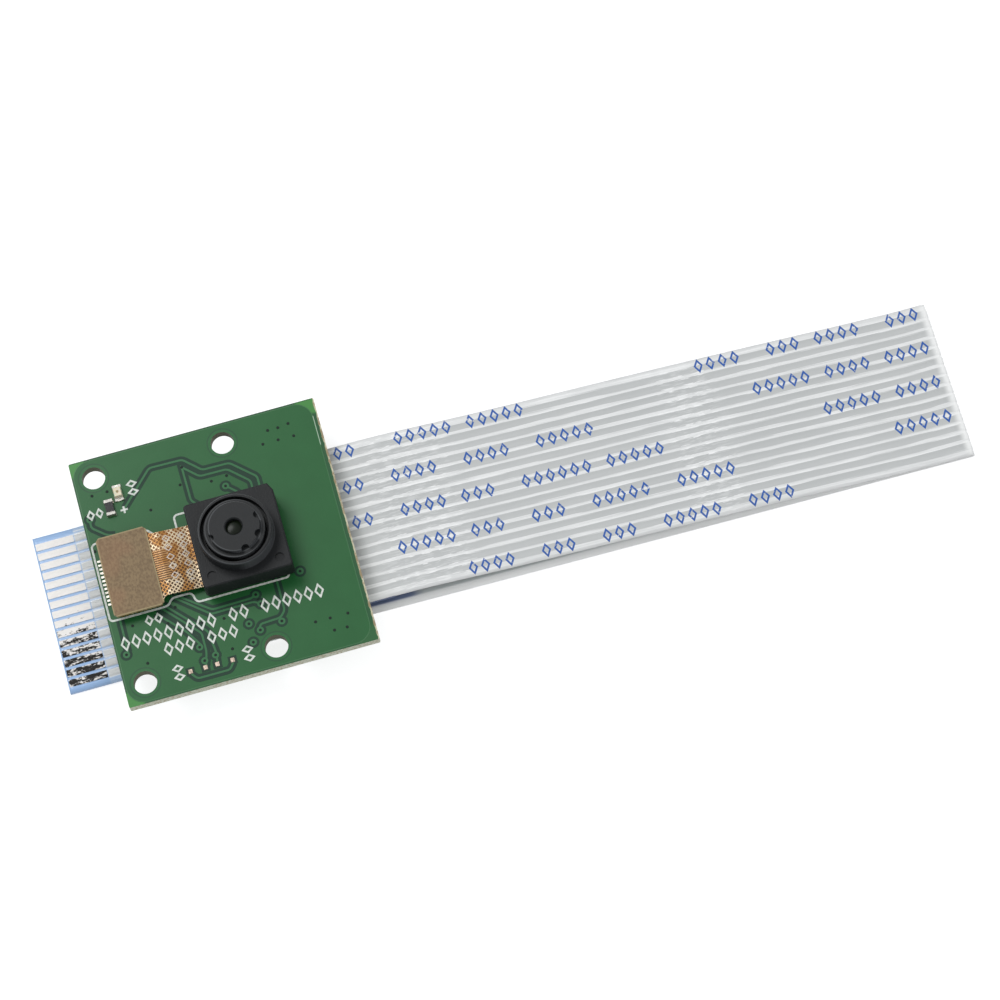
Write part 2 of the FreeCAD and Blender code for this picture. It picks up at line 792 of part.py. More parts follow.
def lower_slope():
    # The lower layer rises from the fold to the stiffener that lifts its free end.
    return end_stiffener_thickness / (fold_start() - free_end_x)


def lower_height(x):
    # Height of the lower layer's middle plane at x; it passes just under the ribbon connector.
    return lower_at_connector + (housing_front - x) * lower_slope()


def ribbon_route():
    start_x = fold_start()
    fold_low = lower_height(start_x)
    fold_high = fold_low + 2 * fold_radius
    leave_x = ribbon_end_x + end_stiffener_length + bend_room
    drop = fold_high - ribbon_high
    corners = [
        (ribbon_end_x + bare_length, ribbon_high),
        (leave_x, ribbon_high),
        (leave_x + dip_distance, ribbon_high + drop * dip_depth),
        (leave_x + hump_distance, ribbon_high + drop * hump_depth),
        (start_x - level_distance, fold_high),
        (start_x, fold_high),
    ]
    upper = route_pieces(corners, [gentle_radius] * (len(corners) - 2))
    turn = -(math.pi + math.atan(lower_slope()))
    fold = ("arc", corners[-1], (start_x, fold_high - fold_radius), turn)
    tail_x = free_end_x + bare_length
    lower = ("line", (start_x, fold_low), (tail_x, lower_height(tail_x)))
    return upper + [fold, lower]


def ribbon_drifts(pieces):
    # The sideways drift is shared by the long straight runs of each layer.
    lengths = {}
    for index, piece in enumerate(pieces[:-2]):
        if piece[0] == "line" and index > 0:
            lengths[index] = piece[2][0] - piece[1][0]
    total = sum(lengths.values())
    drifts = {index: upper_drift * length / total for index, length in lengths.items()}
    drifts[len(pieces) - 1] = lower_drift
    return drifts


def end_place(end):
    # Each bare end as its tip, the film's edge and the direction of the face that carries the contacts.
    if end == "board":
        return (ribbon_end_x, ribbon_high), (ribbon_end_x + bare_length, ribbon_high), 0.0
    edge_x = free_end_x + bare_length
    return (free_end_x, lower_height(free_end_x)), (edge_x, lower_height(edge_x)), upper_drift + lower_drift


def end_strip(end, from_tip, length, bottom, top, y0, y1):
    # A flat strip at a ribbon end, between two distances from the tip and two heights on the film.
    tip, edge, side = end_place(end)
    slope = (edge[1] - tip[1]) / (edge[0] - tip[0])
    x0 = tip[0] + from_tip
    z0 = tip[1] + slope * from_tip
    corners = [(x0, z0 + bottom), (x0 + length, z0 + slope * length + bottom),
               (x0 + length, z0 + slope * length + top), (x0, z0 + top)]
    return plate_in_y(corners, side + y0, side + y1)


def make_ribbon_film():
    pieces = ribbon_route()
    film = sweep_section(ribbon_section(), pieces, ribbon_drifts(pieces))
    half = ribbon_width / 2
    for end in ("board", "free"):
        backing_top = -half_band + backing_thickness
        film = film.fuse(end_strip(end, 0, bare_length, -half_band, backing_top, -half, half))
    return film


def make_end_contacts(end):
    contacts = []
    bottom = -half_band + backing_thickness
    length = bare_length - bare_tip - film_seam
    for row in conductor_rows():
        contacts.append(end_strip(end, bare_tip, length, bottom, bottom + bare_contact_thickness,
                                  row - conductor_width / 2, row + conductor_width / 2))
    return contacts


def make_end_stiffener(end):
    return end_strip(end, 0, end_stiffener_length, -half_band - end_stiffener_thickness, -half_band,
                     -ribbon_width / 2, ribbon_width / 2)


def tongue_top():
    return ribbon_high - half_band - end_stiffener_thickness - latch_clearance


def make_connector_housing():
    body = box(housing_back, housing_front, -housing_width / 2, housing_width / 2, housing_bottom, underside)
    corners = [edge for edge in vertical_edges(body) if abs(edge.CenterOfMass.x - housing_back) < 1e-6]
    body = body.makeChamfer(housing_edge, corners)
    past_front = housing_front + cut_margin
    slot = box(slot_back, past_front, -slot_half_width, slot_half_width, slot_bottom, slot_top)
    tools = [slot]
    for side in (-1, 1):
        y0, y1 = side * (slot_half_width - join_depth), side * (arm_outer + latch_clearance)
        tools.append(box(housing_front - latch_arm_reach - latch_clearance, past_front, min(y0, y1),
                         max(y0, y1), slot_bottom, slot_bottom + latch_arm_height + 2 * latch_clearance))
    post_hole_front = slot_back - slot_back_wall / 2
    groove_bottom = slot_top - contact_beam / 2
    for row in conductor_rows():
        half = contact_groove_width / 2
        tools.append(box(post_hole_front - contact_beam, housing_front - groove_front_wall, row - half,
                         row + half, groove_bottom, underside - groove_roof))
        tools.append(box(housing_back - cut_margin, post_hole_front, row - half, row + half, groove_bottom,
                         underside + cut_margin))
        tools.append(box(post_hole_front - contact_beam, slot_back + contact_beam, row - half, row + half,
                         groove_bottom, slot_top + contact_beam))
    for side in (-1, 1):
        x0 = housing_back + anchor_setback
        y0, y1 = side * (housing_width / 2 - anchor_thickness), side * (housing_width / 2 + cut_margin)
        tools.append(box(x0, x0 + anchor_length, min(y0, y1), max(y0, y1), underside - anchor_height,
                         underside + cut_margin))
    return cut_all(body, tools).removeSplitter()


def make_connector_contacts():
    # A foot on the board, a post in the back wall and a sprung beam that presses on the ribbon.
    contacts = []
    post_back = housing_back + contact_gap
    post_front = slot_back - slot_back_wall / 2 - contact_gap
    beam_top = underside - groove_roof - contact_gap
    beam_bottom = beam_top - contact_beam
    tip_x = housing_front - contact_tip_setback
    tip_top = beam_top - contact_droop
    press_x = tip_x - contact_droop
    touch = ribbon_high - half_band + backing_thickness + bare_contact_thickness + contact_gap
    foot_tip = housing_back - contact_foot_length
    outline = [
        (foot_tip, underside), (post_front, underside), (post_front, beam_top), (tip_x, tip_top),
        (tip_x, tip_top - contact_beam), (press_x, touch), (press_x - contact_beam, tip_top - contact_beam),
        (post_front, beam_bottom), (post_back, beam_bottom), (post_back, underside - contact_foot_thickness),
        (foot_tip, underside - contact_foot_thickness),
    ]
    for row in conductor_rows():
        contacts.append(plate_in_y(outline, row - contact_width / 2, row + contact_width / 2))
    return contacts


def make_connector_latch():
    # A bar across the mouth, a tongue under the ribbon and an arm with a hook at each side.
    front = housing_front + latch_clearance + latch_bar_depth
    mouth = housing_front + latch_clearance
    top = tongue_top()
    tongue = box(housing_front - latch_tongue_reach, mouth, -slot_half_width + latch_clearance,
                 slot_half_width - latch_clearance, top - latch_tongue_thickness, top)
    lead_in = [edge for edge in tongue.Edges
               if abs(edge.CenterOfMass.x - (housing_front - latch_tongue_reach)) < 1e-6
               and abs(edge.CenterOfMass.z - top) < 1e-6]
    tongue = tongue.makeChamfer(latch_tongue_thickness / 2, lead_in)
    low_face = housing_bottom + latch_foot_gap
    bar = box(mouth, front, -housing_width / 2, housing_width / 2, low_face, top)
    latch = tongue.fuse(bar)
    for side in (-1, 1):
        y0, y1 = side * arm_inner, side * arm_outer
        low = slot_bottom + latch_clearance
        arm = box(housing_front - latch_arm_reach, front, min(y0, y1), max(y0, y1), low,
                  low + latch_arm_height)
        ear_in, ear_out = side * arm_inner, side * housing_width / 2
        ear = box(mouth, front, min(ear_in, ear_out), max(ear_in, ear_out), low_face, low + latch_arm_height)
        latch = latch.fuse(arm).fuse(ear)
    return latch.removeSplitter()


def make_anchor_tabs():
    # A plate against the housing's side with a foot that is soldered to the board.
    tabs = []
    x0 = housing_back + anchor_setback
    for side in (-1, 1):
        wall = side * (housing_width / 2 - anchor_thickness)
        outer = side * housing_width / 2
        foot = side * (housing_width / 2 + anchor_foot_width)
        upright = box(x0, x0 + anchor_length, min(wall, outer), max(wall, outer), underside - anchor_height,
                      underside)
        ledge = box(x0, x0 + anchor_length, min(outer, foot), max(outer, foot), underside - anchor_thickness,
                    underside)
        tabs.append(upright.fuse(ledge).removeSplitter())
    return tabs


def save_top_side():
    save("circuit_board", make_circuit_board())
    save("adhesive_pad", make_foam_pad())
    save("sensor_base", make_sensor_base())
    save("sensor_flex", make_sensor_flex())
    save("flex_stiffener", make_tab_stiffener())
    save("flex_plug", make_flex_plug())
    save("flex_plug_contacts", make_plug_contacts())
    save("board_receptacle", make_board_socket())
    save("receptacle_contacts", make_socket_contacts())
    base, lens, terminals = make_status_light()
    save("status_led_base", base)
    save("status_led_lens", lens)
    save("status_led_terminals", terminals)
    body, ends = make_chip(light_resistor_x, light_resistor_y, 90, resistor_length, resistor_width,
                           resistor_height, 0, 1)
    save("led_resistor", body)
    save("led_resistor_ends", ends)


def save_camera():
    save("lens_holder", make_lens_holder())
    save("lens_barrel", make_lens_barrel())
    for name, shape in make_lenses().items():
        save(name, shape)
    for name, shape in make_lens_rings().items():
        save(name, shape)
    save("infrared_filter", make_infrared_filter())
    save("image_sensor", make_image_sensor())


def chip_places(by_edge, by_middle, by_connector):
    step = placement_grid
    places = [(x * step, board_width / 2 - y * step, angle) for x, y, angle in by_edge]
    places += [(x * step, y * step, angle) for x, y, angle in by_middle]
    places += [(housing_back - x * step, y * step, angle) for x, y, angle in by_connector]
    return places


def save_underside():
    capacitors = chip_places(edge_capacitors, middle_capacitors, connector_capacitors)
    resistors = chip_places(edge_resistors, middle_resistors, connector_resistors)
    regulators = [(x * placement_grid, y * placement_grid) for x, y in regulator_steps]
    transistor = [steps * placement_grid for steps in transistor_steps]
    ends = []
    for number, (x, y, angle) in enumerate(capacitors, 1):
        body, metal = make_chip(x, y, angle, capacitor_length, capacitor_width, capacitor_height,
                                underside, -1)
        save("capacitor_%d" % number, body)
        ends += metal
    save("capacitor_ends", ends)
    ends = []
    for number, (x, y, angle) in enumerate(resistors, 1):
        body, metal = make_chip(x, y, angle, resistor_length, resistor_width, resistor_height, underside, -1)
        save("resistor_%d" % number, body)
        ends += metal
    save("resistor_ends", ends)
    for number, (x, y) in enumerate(regulators, 1):
        body, leads = make_package(x, y, (-1, 0, 1), (-1, 1))
        save("regulator_%d" % number, body)
        save("regulator_%d_leads" % number, leads)
    body, leads = make_package(transistor[0], transistor[1], (-1, 1), (0,))
    save("driver_transistor", body)
    save("driver_transistor_leads", leads)
    base, lid = make_oscillator()
    save("oscillator_base", base)
    save("oscillator_lid", lid)


def save_ribbon():
    save("ribbon_connector_housing", make_connector_housing())
    save("ribbon_connector_latch", make_connector_latch())
    save("ribbon_connector_contacts", make_connector_contacts())
    save("connector_anchor_tabs", make_anchor_tabs())
    save("ribbon_film", make_ribbon_film())
    for end in ("board", "free"):
        save("ribbon_%s_end_contacts" % end, make_end_contacts(end))
        save("ribbon_%s_end_stiffener" % end, make_end_stiffener(end))


os.makedirs("parts", exist_ok=True)
save_top_side()
save_camera()
save_underside()
save_ribbon()
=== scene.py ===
import json
import math

import bmesh
import bpy
from mathutils import Matrix, Vector

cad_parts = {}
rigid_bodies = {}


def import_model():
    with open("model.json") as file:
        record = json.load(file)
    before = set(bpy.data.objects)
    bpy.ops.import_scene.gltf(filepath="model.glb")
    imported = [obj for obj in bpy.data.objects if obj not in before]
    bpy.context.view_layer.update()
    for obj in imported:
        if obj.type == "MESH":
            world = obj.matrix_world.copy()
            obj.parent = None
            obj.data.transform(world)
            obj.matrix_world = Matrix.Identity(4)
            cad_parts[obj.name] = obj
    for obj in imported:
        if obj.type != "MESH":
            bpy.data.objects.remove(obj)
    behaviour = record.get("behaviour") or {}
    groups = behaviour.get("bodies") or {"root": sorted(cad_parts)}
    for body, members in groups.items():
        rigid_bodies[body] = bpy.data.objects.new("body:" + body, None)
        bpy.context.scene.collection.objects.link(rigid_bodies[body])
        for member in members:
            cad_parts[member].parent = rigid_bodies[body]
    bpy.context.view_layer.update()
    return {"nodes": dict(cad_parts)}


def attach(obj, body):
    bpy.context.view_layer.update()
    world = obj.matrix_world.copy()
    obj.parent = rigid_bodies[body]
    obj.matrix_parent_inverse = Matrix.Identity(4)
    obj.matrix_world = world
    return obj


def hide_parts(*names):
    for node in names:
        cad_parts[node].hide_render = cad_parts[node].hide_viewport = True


for spare in list(bpy.data.objects):          # the startup cube, lamp and camera
    bpy.data.objects.remove(spare)

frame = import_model()
scene = bpy.context.scene
scene.view_settings.view_transform = "Standard"
mm = 0.001
print("frame loaded:", len(frame["nodes"]), "nodes")


# shader maths: a socket whose arithmetic adds nodes

def tone(red, green, blue):
    # a colour as read on a screen, 0 to 255, made linear
    def channel(value):
        value = value / 255
        return value / 12.92 if value <= 0.04045 else ((value + 0.055) / 1.055) ** 2.4
    return (channel(red), channel(green), channel(blue), 1.0)


class Sock:
    def __init__(self, net, socket):
        self.net = net
        self.socket = socket

    def math(self, operation, first, second=None):
        values = {0: first}
        if second is not None:
            values[1] = second
        return self.net.node("ShaderNodeMath", {"operation": operation}, values)

    def __add__(self, other):
        return self.math("ADD", self, other)

    def __radd__(self, other):
        return self.math("ADD", other, self)

    def __sub__(self, other):
        return self.math("SUBTRACT", self, other)

    def __rsub__(self, other):
        return self.math("SUBTRACT", other, self)

    def __mul__(self, other):
        return self.math("MULTIPLY", self, other)

    def __rmul__(self, other):
        return self.math("MULTIPLY", other, self)

    def __truediv__(self, other):
        return self.math("DIVIDE", self, other)

    def __mod__(self, other):
        return self.math("FLOORED_MODULO", self, other)

    def __abs__(self):
        return self.math("ABSOLUTE", self)

    def __lt__(self, other):
        return self.math("LESS_THAN", self, other)

    def __gt__(self, other):
        return self.math("GREATER_THAN", self, other)

    def least(self, other):
        return self.math("MINIMUM", self, other)

    def most(self, other):
        return self.math("MAXIMUM", self, other)

    def root(self):
        return self.math("SQRT", self)

    def sine(self):
        return self.math("SINE", self)

    def held(self):
        return self.most(0.0).least(1.0)

    def ramp(self, low, high):
        # 0 below low, 1 above high, smooth between
        settings = {"interpolation_type": "SMOOTHSTEP"}
        return self.net.node("ShaderNodeMapRange", settings, {0: self, 1: low, 2: high, 3: 0.0, 4: 1.0})

    def between(self, low, high, soft):
        # 1 from low to high, 0 outside
        return self.ramp(low - soft, low + soft) * (1 - self.ramp(high - soft, high + soft))


class Net:
    def __init__(self, name):
        self.material = bpy.data.materials.new(name)
        self.material.use_nodes = True
        self.tree = self.material.node_tree
        self.tree.nodes.clear()
        self.coords = None

    def node(self, kind, settings, values, output=0):
        made = self.tree.nodes.new(kind)
        for key, value in settings.items():
            setattr(made, key, value)
        for key, value in values.items():
            socket = made.inputs[key]
            if isinstance(value, Sock):
                self.tree.links.new(value.socket, socket)
            else:
                socket.default_value = value
        return Sock(self, made.outputs[output]) if made.outputs else None

    def place(self):
        # Object coordinates in millimetres
        if self.coords is None:
            raw = self.node("ShaderNodeTexCoord", {}, {}, "Object")
            self.coords = self.node("ShaderNodeMapping", {}, {"Vector": raw, "Scale": (1000, 1000, 1000)})
        return self.coords

    def split(self, vector):
        return [self.node("ShaderNodeSeparateXYZ", {}, {0: vector}, axis) for axis in range(3)]

    def normalZ(self):
        return self.split(self.node("ShaderNodeNewGeometry", {}, {}, "Normal"))[2]

    def noise(self, scale, detail=2.0, stretch=(1, 1, 1), vector=None):
        source = self.place() if vector is None else vector
        mapped = self.node("ShaderNodeMapping", {}, {"Vector": source, "Scale": stretch})
        return self.node("ShaderNodeTexNoise", {}, {"Vector": mapped, "Scale": scale, "Detail": detail})

    def mix(self, factor, first, second):
        return self.node("ShaderNodeMix", {"data_type": "RGBA"}, {0: factor, 6: first, 7: second}, 2)

    def finish(self, color, roughness=0.5, metallic=0.0, height=None, depth=0.02, fixed=None):
        # depth is the relief in millimetres that a height of 0 to 1 stands for
        values = {"Base Color": color, "Roughness": roughness, "Metallic": metallic,
                  "Specular IOR Level": 0.3}
        values.update(fixed or {})
        if height is not None:
            relief = {"Strength": 1.0, "Distance": depth * mm, "Height": height}
            values["Normal"] = self.node("ShaderNodeBump", {}, relief)
        shader = self.node("ShaderNodeBsdfPrincipled", {}, values)
        self.node("ShaderNodeOutputMaterial", {}, {"Surface": shader})
        return self.material


# finishes; places and lengths are in millimetres
board = {"left": -8.25, "right": 15.612, "halfWidth": 12.5, "holeX": 6.25, "holeY": 10.5, "holeRing": 1.42,
         "pourInset": 0.14, "rightInset": 0.5, "pourCorner": 1.7, "edgeFringe": 0.16, "farEdge": 0.09,
         "glintLow": 7.7, "glintHigh": 10.7}
greens = {"pour": tone(29, 93, 46), "light": tone(35, 101, 52), "open": tone(70, 140, 66),
          "margin": tone(34, 84, 50), "gap": tone(25, 60, 44), "trace": tone(50, 112, 68),
          "via": tone(14, 36, 26)}


def makeSolderMask():
    net = Net("solderMask")
    x, y, z = net.split(net.place())
    left = board["left"] + board["pourInset"]
    right = board["right"] - board["rightInset"]
    middle = (left + right) / 2
    halfLength = (right - left) / 2 - board["pourCorner"]
    halfWidth = board["halfWidth"] - board["pourInset"] - board["pourCorner"]
    # how far a place lies outside the copper pour, and inside a hole's ring
    outX = (abs(x - middle) - halfLength).most(0.0)
    outY = (abs(y) - halfWidth).most(0.0)
    pourEdge = (outX * outX + outY * outY).root() - board["pourCorner"]
    holeX = abs(x) - board["holeX"]
    holeY = abs(y) - board["holeY"]
    holeEdge = board["holeRing"] - (holeX * holeX + holeY * holeY).root()
    inCorner = (outX * outY).ramp(0.3, 0.9)
    bare = pourEdge.ramp(-0.04, 0.04)
    rim = holeEdge.ramp(-0.05, 0.05)
    mottle = net.noise(0.35, 3.0)
    speck = net.noise(6.0, 2.0)
    green = net.mix((mottle - 0.35) * 1.2, greens["pour"], greens["light"])
    green = net.mix(bare * 0.8, green, greens["margin"])
    # the corners are bright, but for the near right one
    shaded = (x > 0.0) * (y < 0.0) * 0.75
    green = net.mix(bare * inCorner * (0.9 - shaded), green, greens["open"])
    # a pale line along the pour's edge: a painted highlight
    green = net.mix(pourEdge.between(-0.06, 0.02, 0.03) * 0.3, green, tone(116, 158, 120))
    green = net.mix(rim * 0.55, green, greens["light"])
    green = net.mix((0.07 - abs(holeEdge)).ramp(-0.04, 0.05) * 0.5, green, greens["gap"])
    green = net.mix((speck - 0.62).held() * 0.5, green, tone(80, 138, 86))
    # laminate shows where the right edge is cut raggedly
    ragged = net.noise(1.5, 3.0)
    toEdge = (board["right"] - x) - (ragged - 0.5) * 0.35
    fringe = 1 - toEdge.ramp(board["edgeFringe"] - 0.04, board["edgeFringe"] + 0.04)
    farEdge = (y - (board["halfWidth"] - board["farEdge"])).ramp(-0.03, 0.03)
    green = net.mix(farEdge * 0.6, green, tone(26, 60, 40))
    layers = (z * 26).sine() * 0.5 + 0.5
    cutEdge = net.mix(ragged.ramp(0.4, 0.6), tone(206, 200, 170), tone(134, 112, 72))
    cutEdge = net.mix(layers * 0.3, cutEdge, tone(222, 218, 196))
    green = net.mix(fringe, green, cutEdge)
    # bare laminate on the side walls, with painted shade making them darker in the holes
    facing = net.normalZ()
    side = abs(facing) < 0.5
    chips = net.noise(4.5, 4.0)
    wall = net.mix(chips.ramp(0.42, 0.66), tone(220, 224, 204), tone(176, 166, 134))
    wall = net.mix(layers * 0.3, wall, tone(230, 230, 212))
    # painted shade on the walls inside the holes
    wall = net.mix(holeEdge.ramp(0.1, 0.2), wall, tone(92, 94, 70))
    glint = (x - right + 0.02 * ragged).between(0.0, 0.05, 0.02)
    glint = glint * y.between(board["glintLow"], board["glintHigh"], 0.1) * (facing > 0.5)
    green = net.mix(glint * 0.85, green, tone(214, 236, 214))
    color = net.mix(side, green, wall)
    height = (1 - bare) + mottle * 0.15 + speck * 0.05 + side * ragged
    return net.finish(color, roughness=0.36 + side * 0.4, height=height, depth=0.03,
                      fixed={"Coat Weight": 0.08, "Coat Roughness": 0.2})


def makeGreen(name, color, roughness=0.36):
    net = Net(name)
    speck = net.noise(3.0, 2.0)
    shade = tuple(channel * 0.86 for channel in color[:3]) + (1.0,)
    return net.finish(net.mix(speck, shade, color), roughness=roughness, height=speck, depth=0.004)


def makeLegendInk():
    net = Net("legendInk")
    wear = net.noise(4.0, 3.0)
    color = net.mix(wear.ramp(0.3, 0.7), tone(196, 204, 196), tone(232, 236, 230))
    return net.finish(color, roughness=0.6, height=wear, depth=0.01)


# radii of the edges round the lens that get painted highlights
optics = {"x": 5.5, "holderHighlightRims": (3.45,), "barrelHighlightRims": (2.81, 2.42), "rimHighlightHalf": 0.05, "rimHighlightShare": 0.4,
          "rimHighlightColor": tone(104, 107, 110), "sensorHalfLength": 1.9, "sensorHalfWidth": 1.45}


def makePlastic(name, dark, light, roughness, grain=9.0, depth=0.012, rims=()):
    net = Net(name)
    fine = net.noise(grain, 3.0)
    broad = net.noise(0.5, 2.0)
    color = net.mix((fine * 0.6 + broad * 0.4 - 0.3).held(), dark, light)
    if rims:
        x, y = net.split(net.place())[:2]
        reach = ((x - optics["x"]) * (x - optics["x"]) + y * y).root()
        # pale arcs at these radii: painted highlights on the edges
        for radius in rims:
            rim = reach.between(radius - optics["rimHighlightHalf"], radius + optics["rimHighlightHalf"], 0.02)
            color = net.mix(rim * optics["rimHighlightShare"], color, optics["rimHighlightColor"])
    return net.finish(color, roughness=roughness + (fine - 0.5) * 0.15, height=fine, depth=depth)


def makeMetal(name, color, roughness, grain=5.0, depth=0.01, worn=0.25):
    net = Net(name)
    fine = net.noise(grain, 3.0)
    dull = tuple(channel * (1 - worn) for channel in color[:3]) + (1.0,)
    return net.finish(net.mix(fine.ramp(0.35, 0.65), dull, color), roughness=roughness + fine * 0.12,
                      metallic=1.0, height=fine, depth=depth)


flex = {"latticePitch": 0.43, "linePitch": 0.22, "lozengeX": -0.35, "columnOff": 0.72, "lozengePitch": 0.94,
        "lozengeLength": 0.46}


def makeFlexFilm():
    # gold film over a diamond lattice of copper, with fine straight lines beside the plate
    net = Net("flexFilm")
    x, y = net.split(net.place())[:2]
    up = abs(((x + y) / flex["latticePitch"]) % 1.0 - 0.5)
    down = abs(((x - y) / flex["latticePitch"]) % 1.0 - 0.5)
    lattice = up.most(down).ramp(0.27, 0.35)
    lines = abs((y / flex["linePitch"]) % 1.0 - 0.5).ramp(0.14, 0.3)
    inLines = y.between(-1.7, 1.4, 0.1) * x.between(-2.8, -1.3, 0.08)
    copper = net.split(net.mix(inLines, lattice, lines))[0]
    shine = net.noise(1.1, 3.0, (1.0, 0.6, 1.0))
    far = y.ramp(-2.6, 2.6)
    # white-gold patches on the lattice are painted highlights
    highlight = shine.ramp(0.44, 0.6) * (1 - inLines * 0.8)
    gold = net.mix(highlight, tone(196, 140, 74), tone(252, 230, 192))
    dark = net.mix(far, tone(70, 44, 26), tone(140, 84, 30))
    color = net.mix(copper, dark, gold)
    # two columns of small white lozenges
    column = abs(abs(x - flex["lozengeX"]) - flex["columnOff"]) / flex["lozengeLength"]
    lozenge = (column + abs((y / flex["lozengePitch"]) % 1.0 - 0.5) / 0.45).between(0.58, 0.88, 0.05)
    color = net.mix(lozenge * y.between(-2.2, 2.9, 0.05) * 0.85, color, tone(236, 230, 222))
    return net.finish(color, roughness=0.4 - copper * 0.16, metallic=copper * 0.35,
                      height=copper + shine * 0.6, depth=0.03,
                      fixed={"Coat Weight": 0.3, "Coat Roughness": 0.2})


plate = {"x": -5.05, "halfLength": 2.3, "halfWidth": 3.9}


def makeStiffenerPlate():
    net = Net("tabStiffener")
    x, y = net.split(net.place())[:2]
    grain = net.noise(5.0, 4.0, (1.0, 0.7, 1.0))
    fibre = net.noise(7.0, 2.0, (0.3, 1.0, 1.0))
    warm = net.noise(0.3, 1.0)
    # paler at the rim
    edge = (abs(x - plate["x"]) - plate["halfLength"]).most(abs(y) - plate["halfWidth"]).ramp(-0.05, 0.03)
    color = net.mix(grain.ramp(0.3, 0.7), tone(118, 98, 72), tone(142, 121, 90))
    color = net.mix(warm.ramp(0.45, 0.65) * 0.3, color, tone(152, 112, 84))
    color = net.mix(edge * 0.55, color, tone(178, 164, 124))
    return net.finish(color, roughness=0.5, height=fibre * 0.5 + grain * 0.5, depth=0.02)


def makeGlass(name, color, roughness=0.03, gloss=0.3):
    net = Net(name)
    dust = net.noise(2.0, 2.0)
    return net.finish(color, roughness=roughness + dust * 0.05,
                      fixed={"Transmission Weight": 0.5, "IOR": 1.45, "Specular IOR Level": gloss})


def makeSensorChip():
    net = Net("sensorChip")
    x, y = net.split(net.place())[:2]
    outside = (abs(x - optics["x"]) - optics["sensorHalfLength"]).most(abs(y) - optics["sensorHalfWidth"])
    sheen = net.noise(0.8, 2.0)
    pixels = net.mix(sheen, tone(48, 70, 74), tone(86, 62, 92))
    color = net.mix(outside.ramp(-0.02, 0.02), pixels, tone(70, 66, 60))
    return net.finish(color, roughness=0.18, metallic=0.4, height=sheen, depth=0.002)


light = {"x": -4.38, "y": 8.36}


def makeLightLens():
    # cream wax with the die showing through its middle
    net = Net("lightLens")
    x, y = net.split(net.place())[:2]
    offX = x - light["x"]
    offY = y - light["y"]
    die = (offX * offX + offY * offY).root().ramp(0.08, 0.2)
    wax = net.noise(2.5, 2.0)
    cream = net.mix(wax, tone(214, 206, 176), tone(236, 230, 206))
    return net.finish(net.mix(die, tone(150, 132, 88), cream), roughness=0.3, height=wax, depth=0.01,
                      fixed={"Subsurface Weight": 0.2, "Subsurface Scale": 0.0003, "Coat Weight": 0.3})


def makeCapacitorCeramic():
    net = Net("capacitorCeramic")
    grain = net.noise(7.0, 3.0)
    return net.finish(net.mix(grain, tone(138, 108, 76), tone(172, 142, 104)), roughness=0.42, height=grain,
                      depth=0.01)


def makeBlueFilm(name, dark, light):
    net = Net(name)
    cloud = net.noise(0.6, 2.0)
    streak = net.noise(2.0, 2.0, (0.2, 1.0, 1.0))
    color = net.mix(cloud * 0.5 + streak * 0.5, dark, light)
    return net.finish(color, roughness=0.32, height=streak, depth=0.01, fixed={"Coat Weight": 0.3})


def makeEndContacts():
    # tinned strips, clean at the far side and more and more speckled towards the near side
    net = Net("ribbonContacts")
    y = net.split(net.place())[1]
    worn = (0.0 - y).ramp(-2.5, 5.5)
    blots = net.noise(1.7, 5.0, (0.5, 1.6, 1.0))
    fine = net.noise(7.0, 3.0, (0.6, 1.0, 1.0))
    limit = 0.87 - worn * 0.5
    dark = ((blots + (fine - 0.5) * 0.7 - limit) * 9).held()
    clean = net.mix(fine, tone(222, 219, 216), tone(238, 235, 232))
    color = net.mix(dark, clean, tone(38, 36, 34))
    return net.finish(color, roughness=0.4 + dark * 0.3, metallic=0.15 * (1 - dark), height=blots,
                      depth=0.02)


finishes = {
    "mask": makeSolderMask(),
    "foam": makePlastic("foamTape", tone(28, 28, 30), tone(48, 48, 50), 0.85, 4.0, 0.06),
    "stiffener": makeStiffenerPlate(),
    "flex": makeFlexFilm(),
    "black": makePlastic("holderPlastic", tone(24, 26, 28), tone(38, 40, 43), 0.5, 8.0, 0.016,
                         optics["holderHighlightRims"]),
    "barrel": makePlastic("barrelPlastic", tone(24, 26, 28), tone(38, 41, 44), 0.45, 10.0, 0.01,
                          optics["barrelHighlightRims"]),
    "fine": makePlastic("finePlastic", tone(34, 30, 28), tone(56, 50, 46), 0.5),
    "glass": makeGlass("lensGlass", tone(24, 34, 18), 0.3, 0.08),
    "filter": makeGlass("filterGlass", tone(150, 200, 205)),
    "chip": makeSensorChip(),
    "gold": makeMetal("goldContact", tone(238, 200, 120), 0.24),
    "lightBody": makePlastic("lightBody", tone(210, 204, 184), tone(232, 226, 206), 0.4, 5.0, 0.006),
    "lightLens": makeLightLens(),
    "resistor": makePlastic("resistorGlaze", tone(34, 34, 36), tone(60, 58, 58), 0.32, 6.0, 0.008),
    "capacitor": makeCapacitorCeramic(),
    "tin": makeMetal("tinnedMetal", tone(178, 176, 170), 0.34),
    "solder": makeMetal("solderFillet", tone(206, 202, 192), 0.28, 3.0, 0.02),
    "pad": makeMetal("padMetal", tone(206, 186, 170), 0.4, 4.0, 0.02, 0.45),
    "oscBase": makePlastic("oscillatorCeramic", tone(64, 54, 48), tone(92, 80, 70), 0.5),
    "oscLid": makeMetal("oscillatorLid", tone(200, 192, 176), 0.3, 2.0),
    "housing": makePlastic("connectorHousing", tone(206, 200, 184), tone(230, 225, 210), 0.45, 4.0, 0.008),
    "latch": makePlastic("connectorLatch", tone(44, 36, 32), tone(66, 54, 48), 0.45, 4.0, 0.008),
    "blue": makeBlueFilm("blueStiffener", tone(140, 176, 226), tone(176, 204, 240)),
    # the board end's stiffener in dark navy: painted shade over its blue
    "navyShade": makeBlueFilm("boardEndStiffenerShade", tone(58, 82, 128), tone(78, 104, 152)),
    "ends": makeEndContacts(),
    "gap": makeGreen("traceGap", greens["gap"], 0.5),
    "trace": makeGreen("traceCover", greens["trace"]),
    "via": makeGreen("viaHole", greens["via"], 0.6),
    "legend": makeLegendInk(),
}

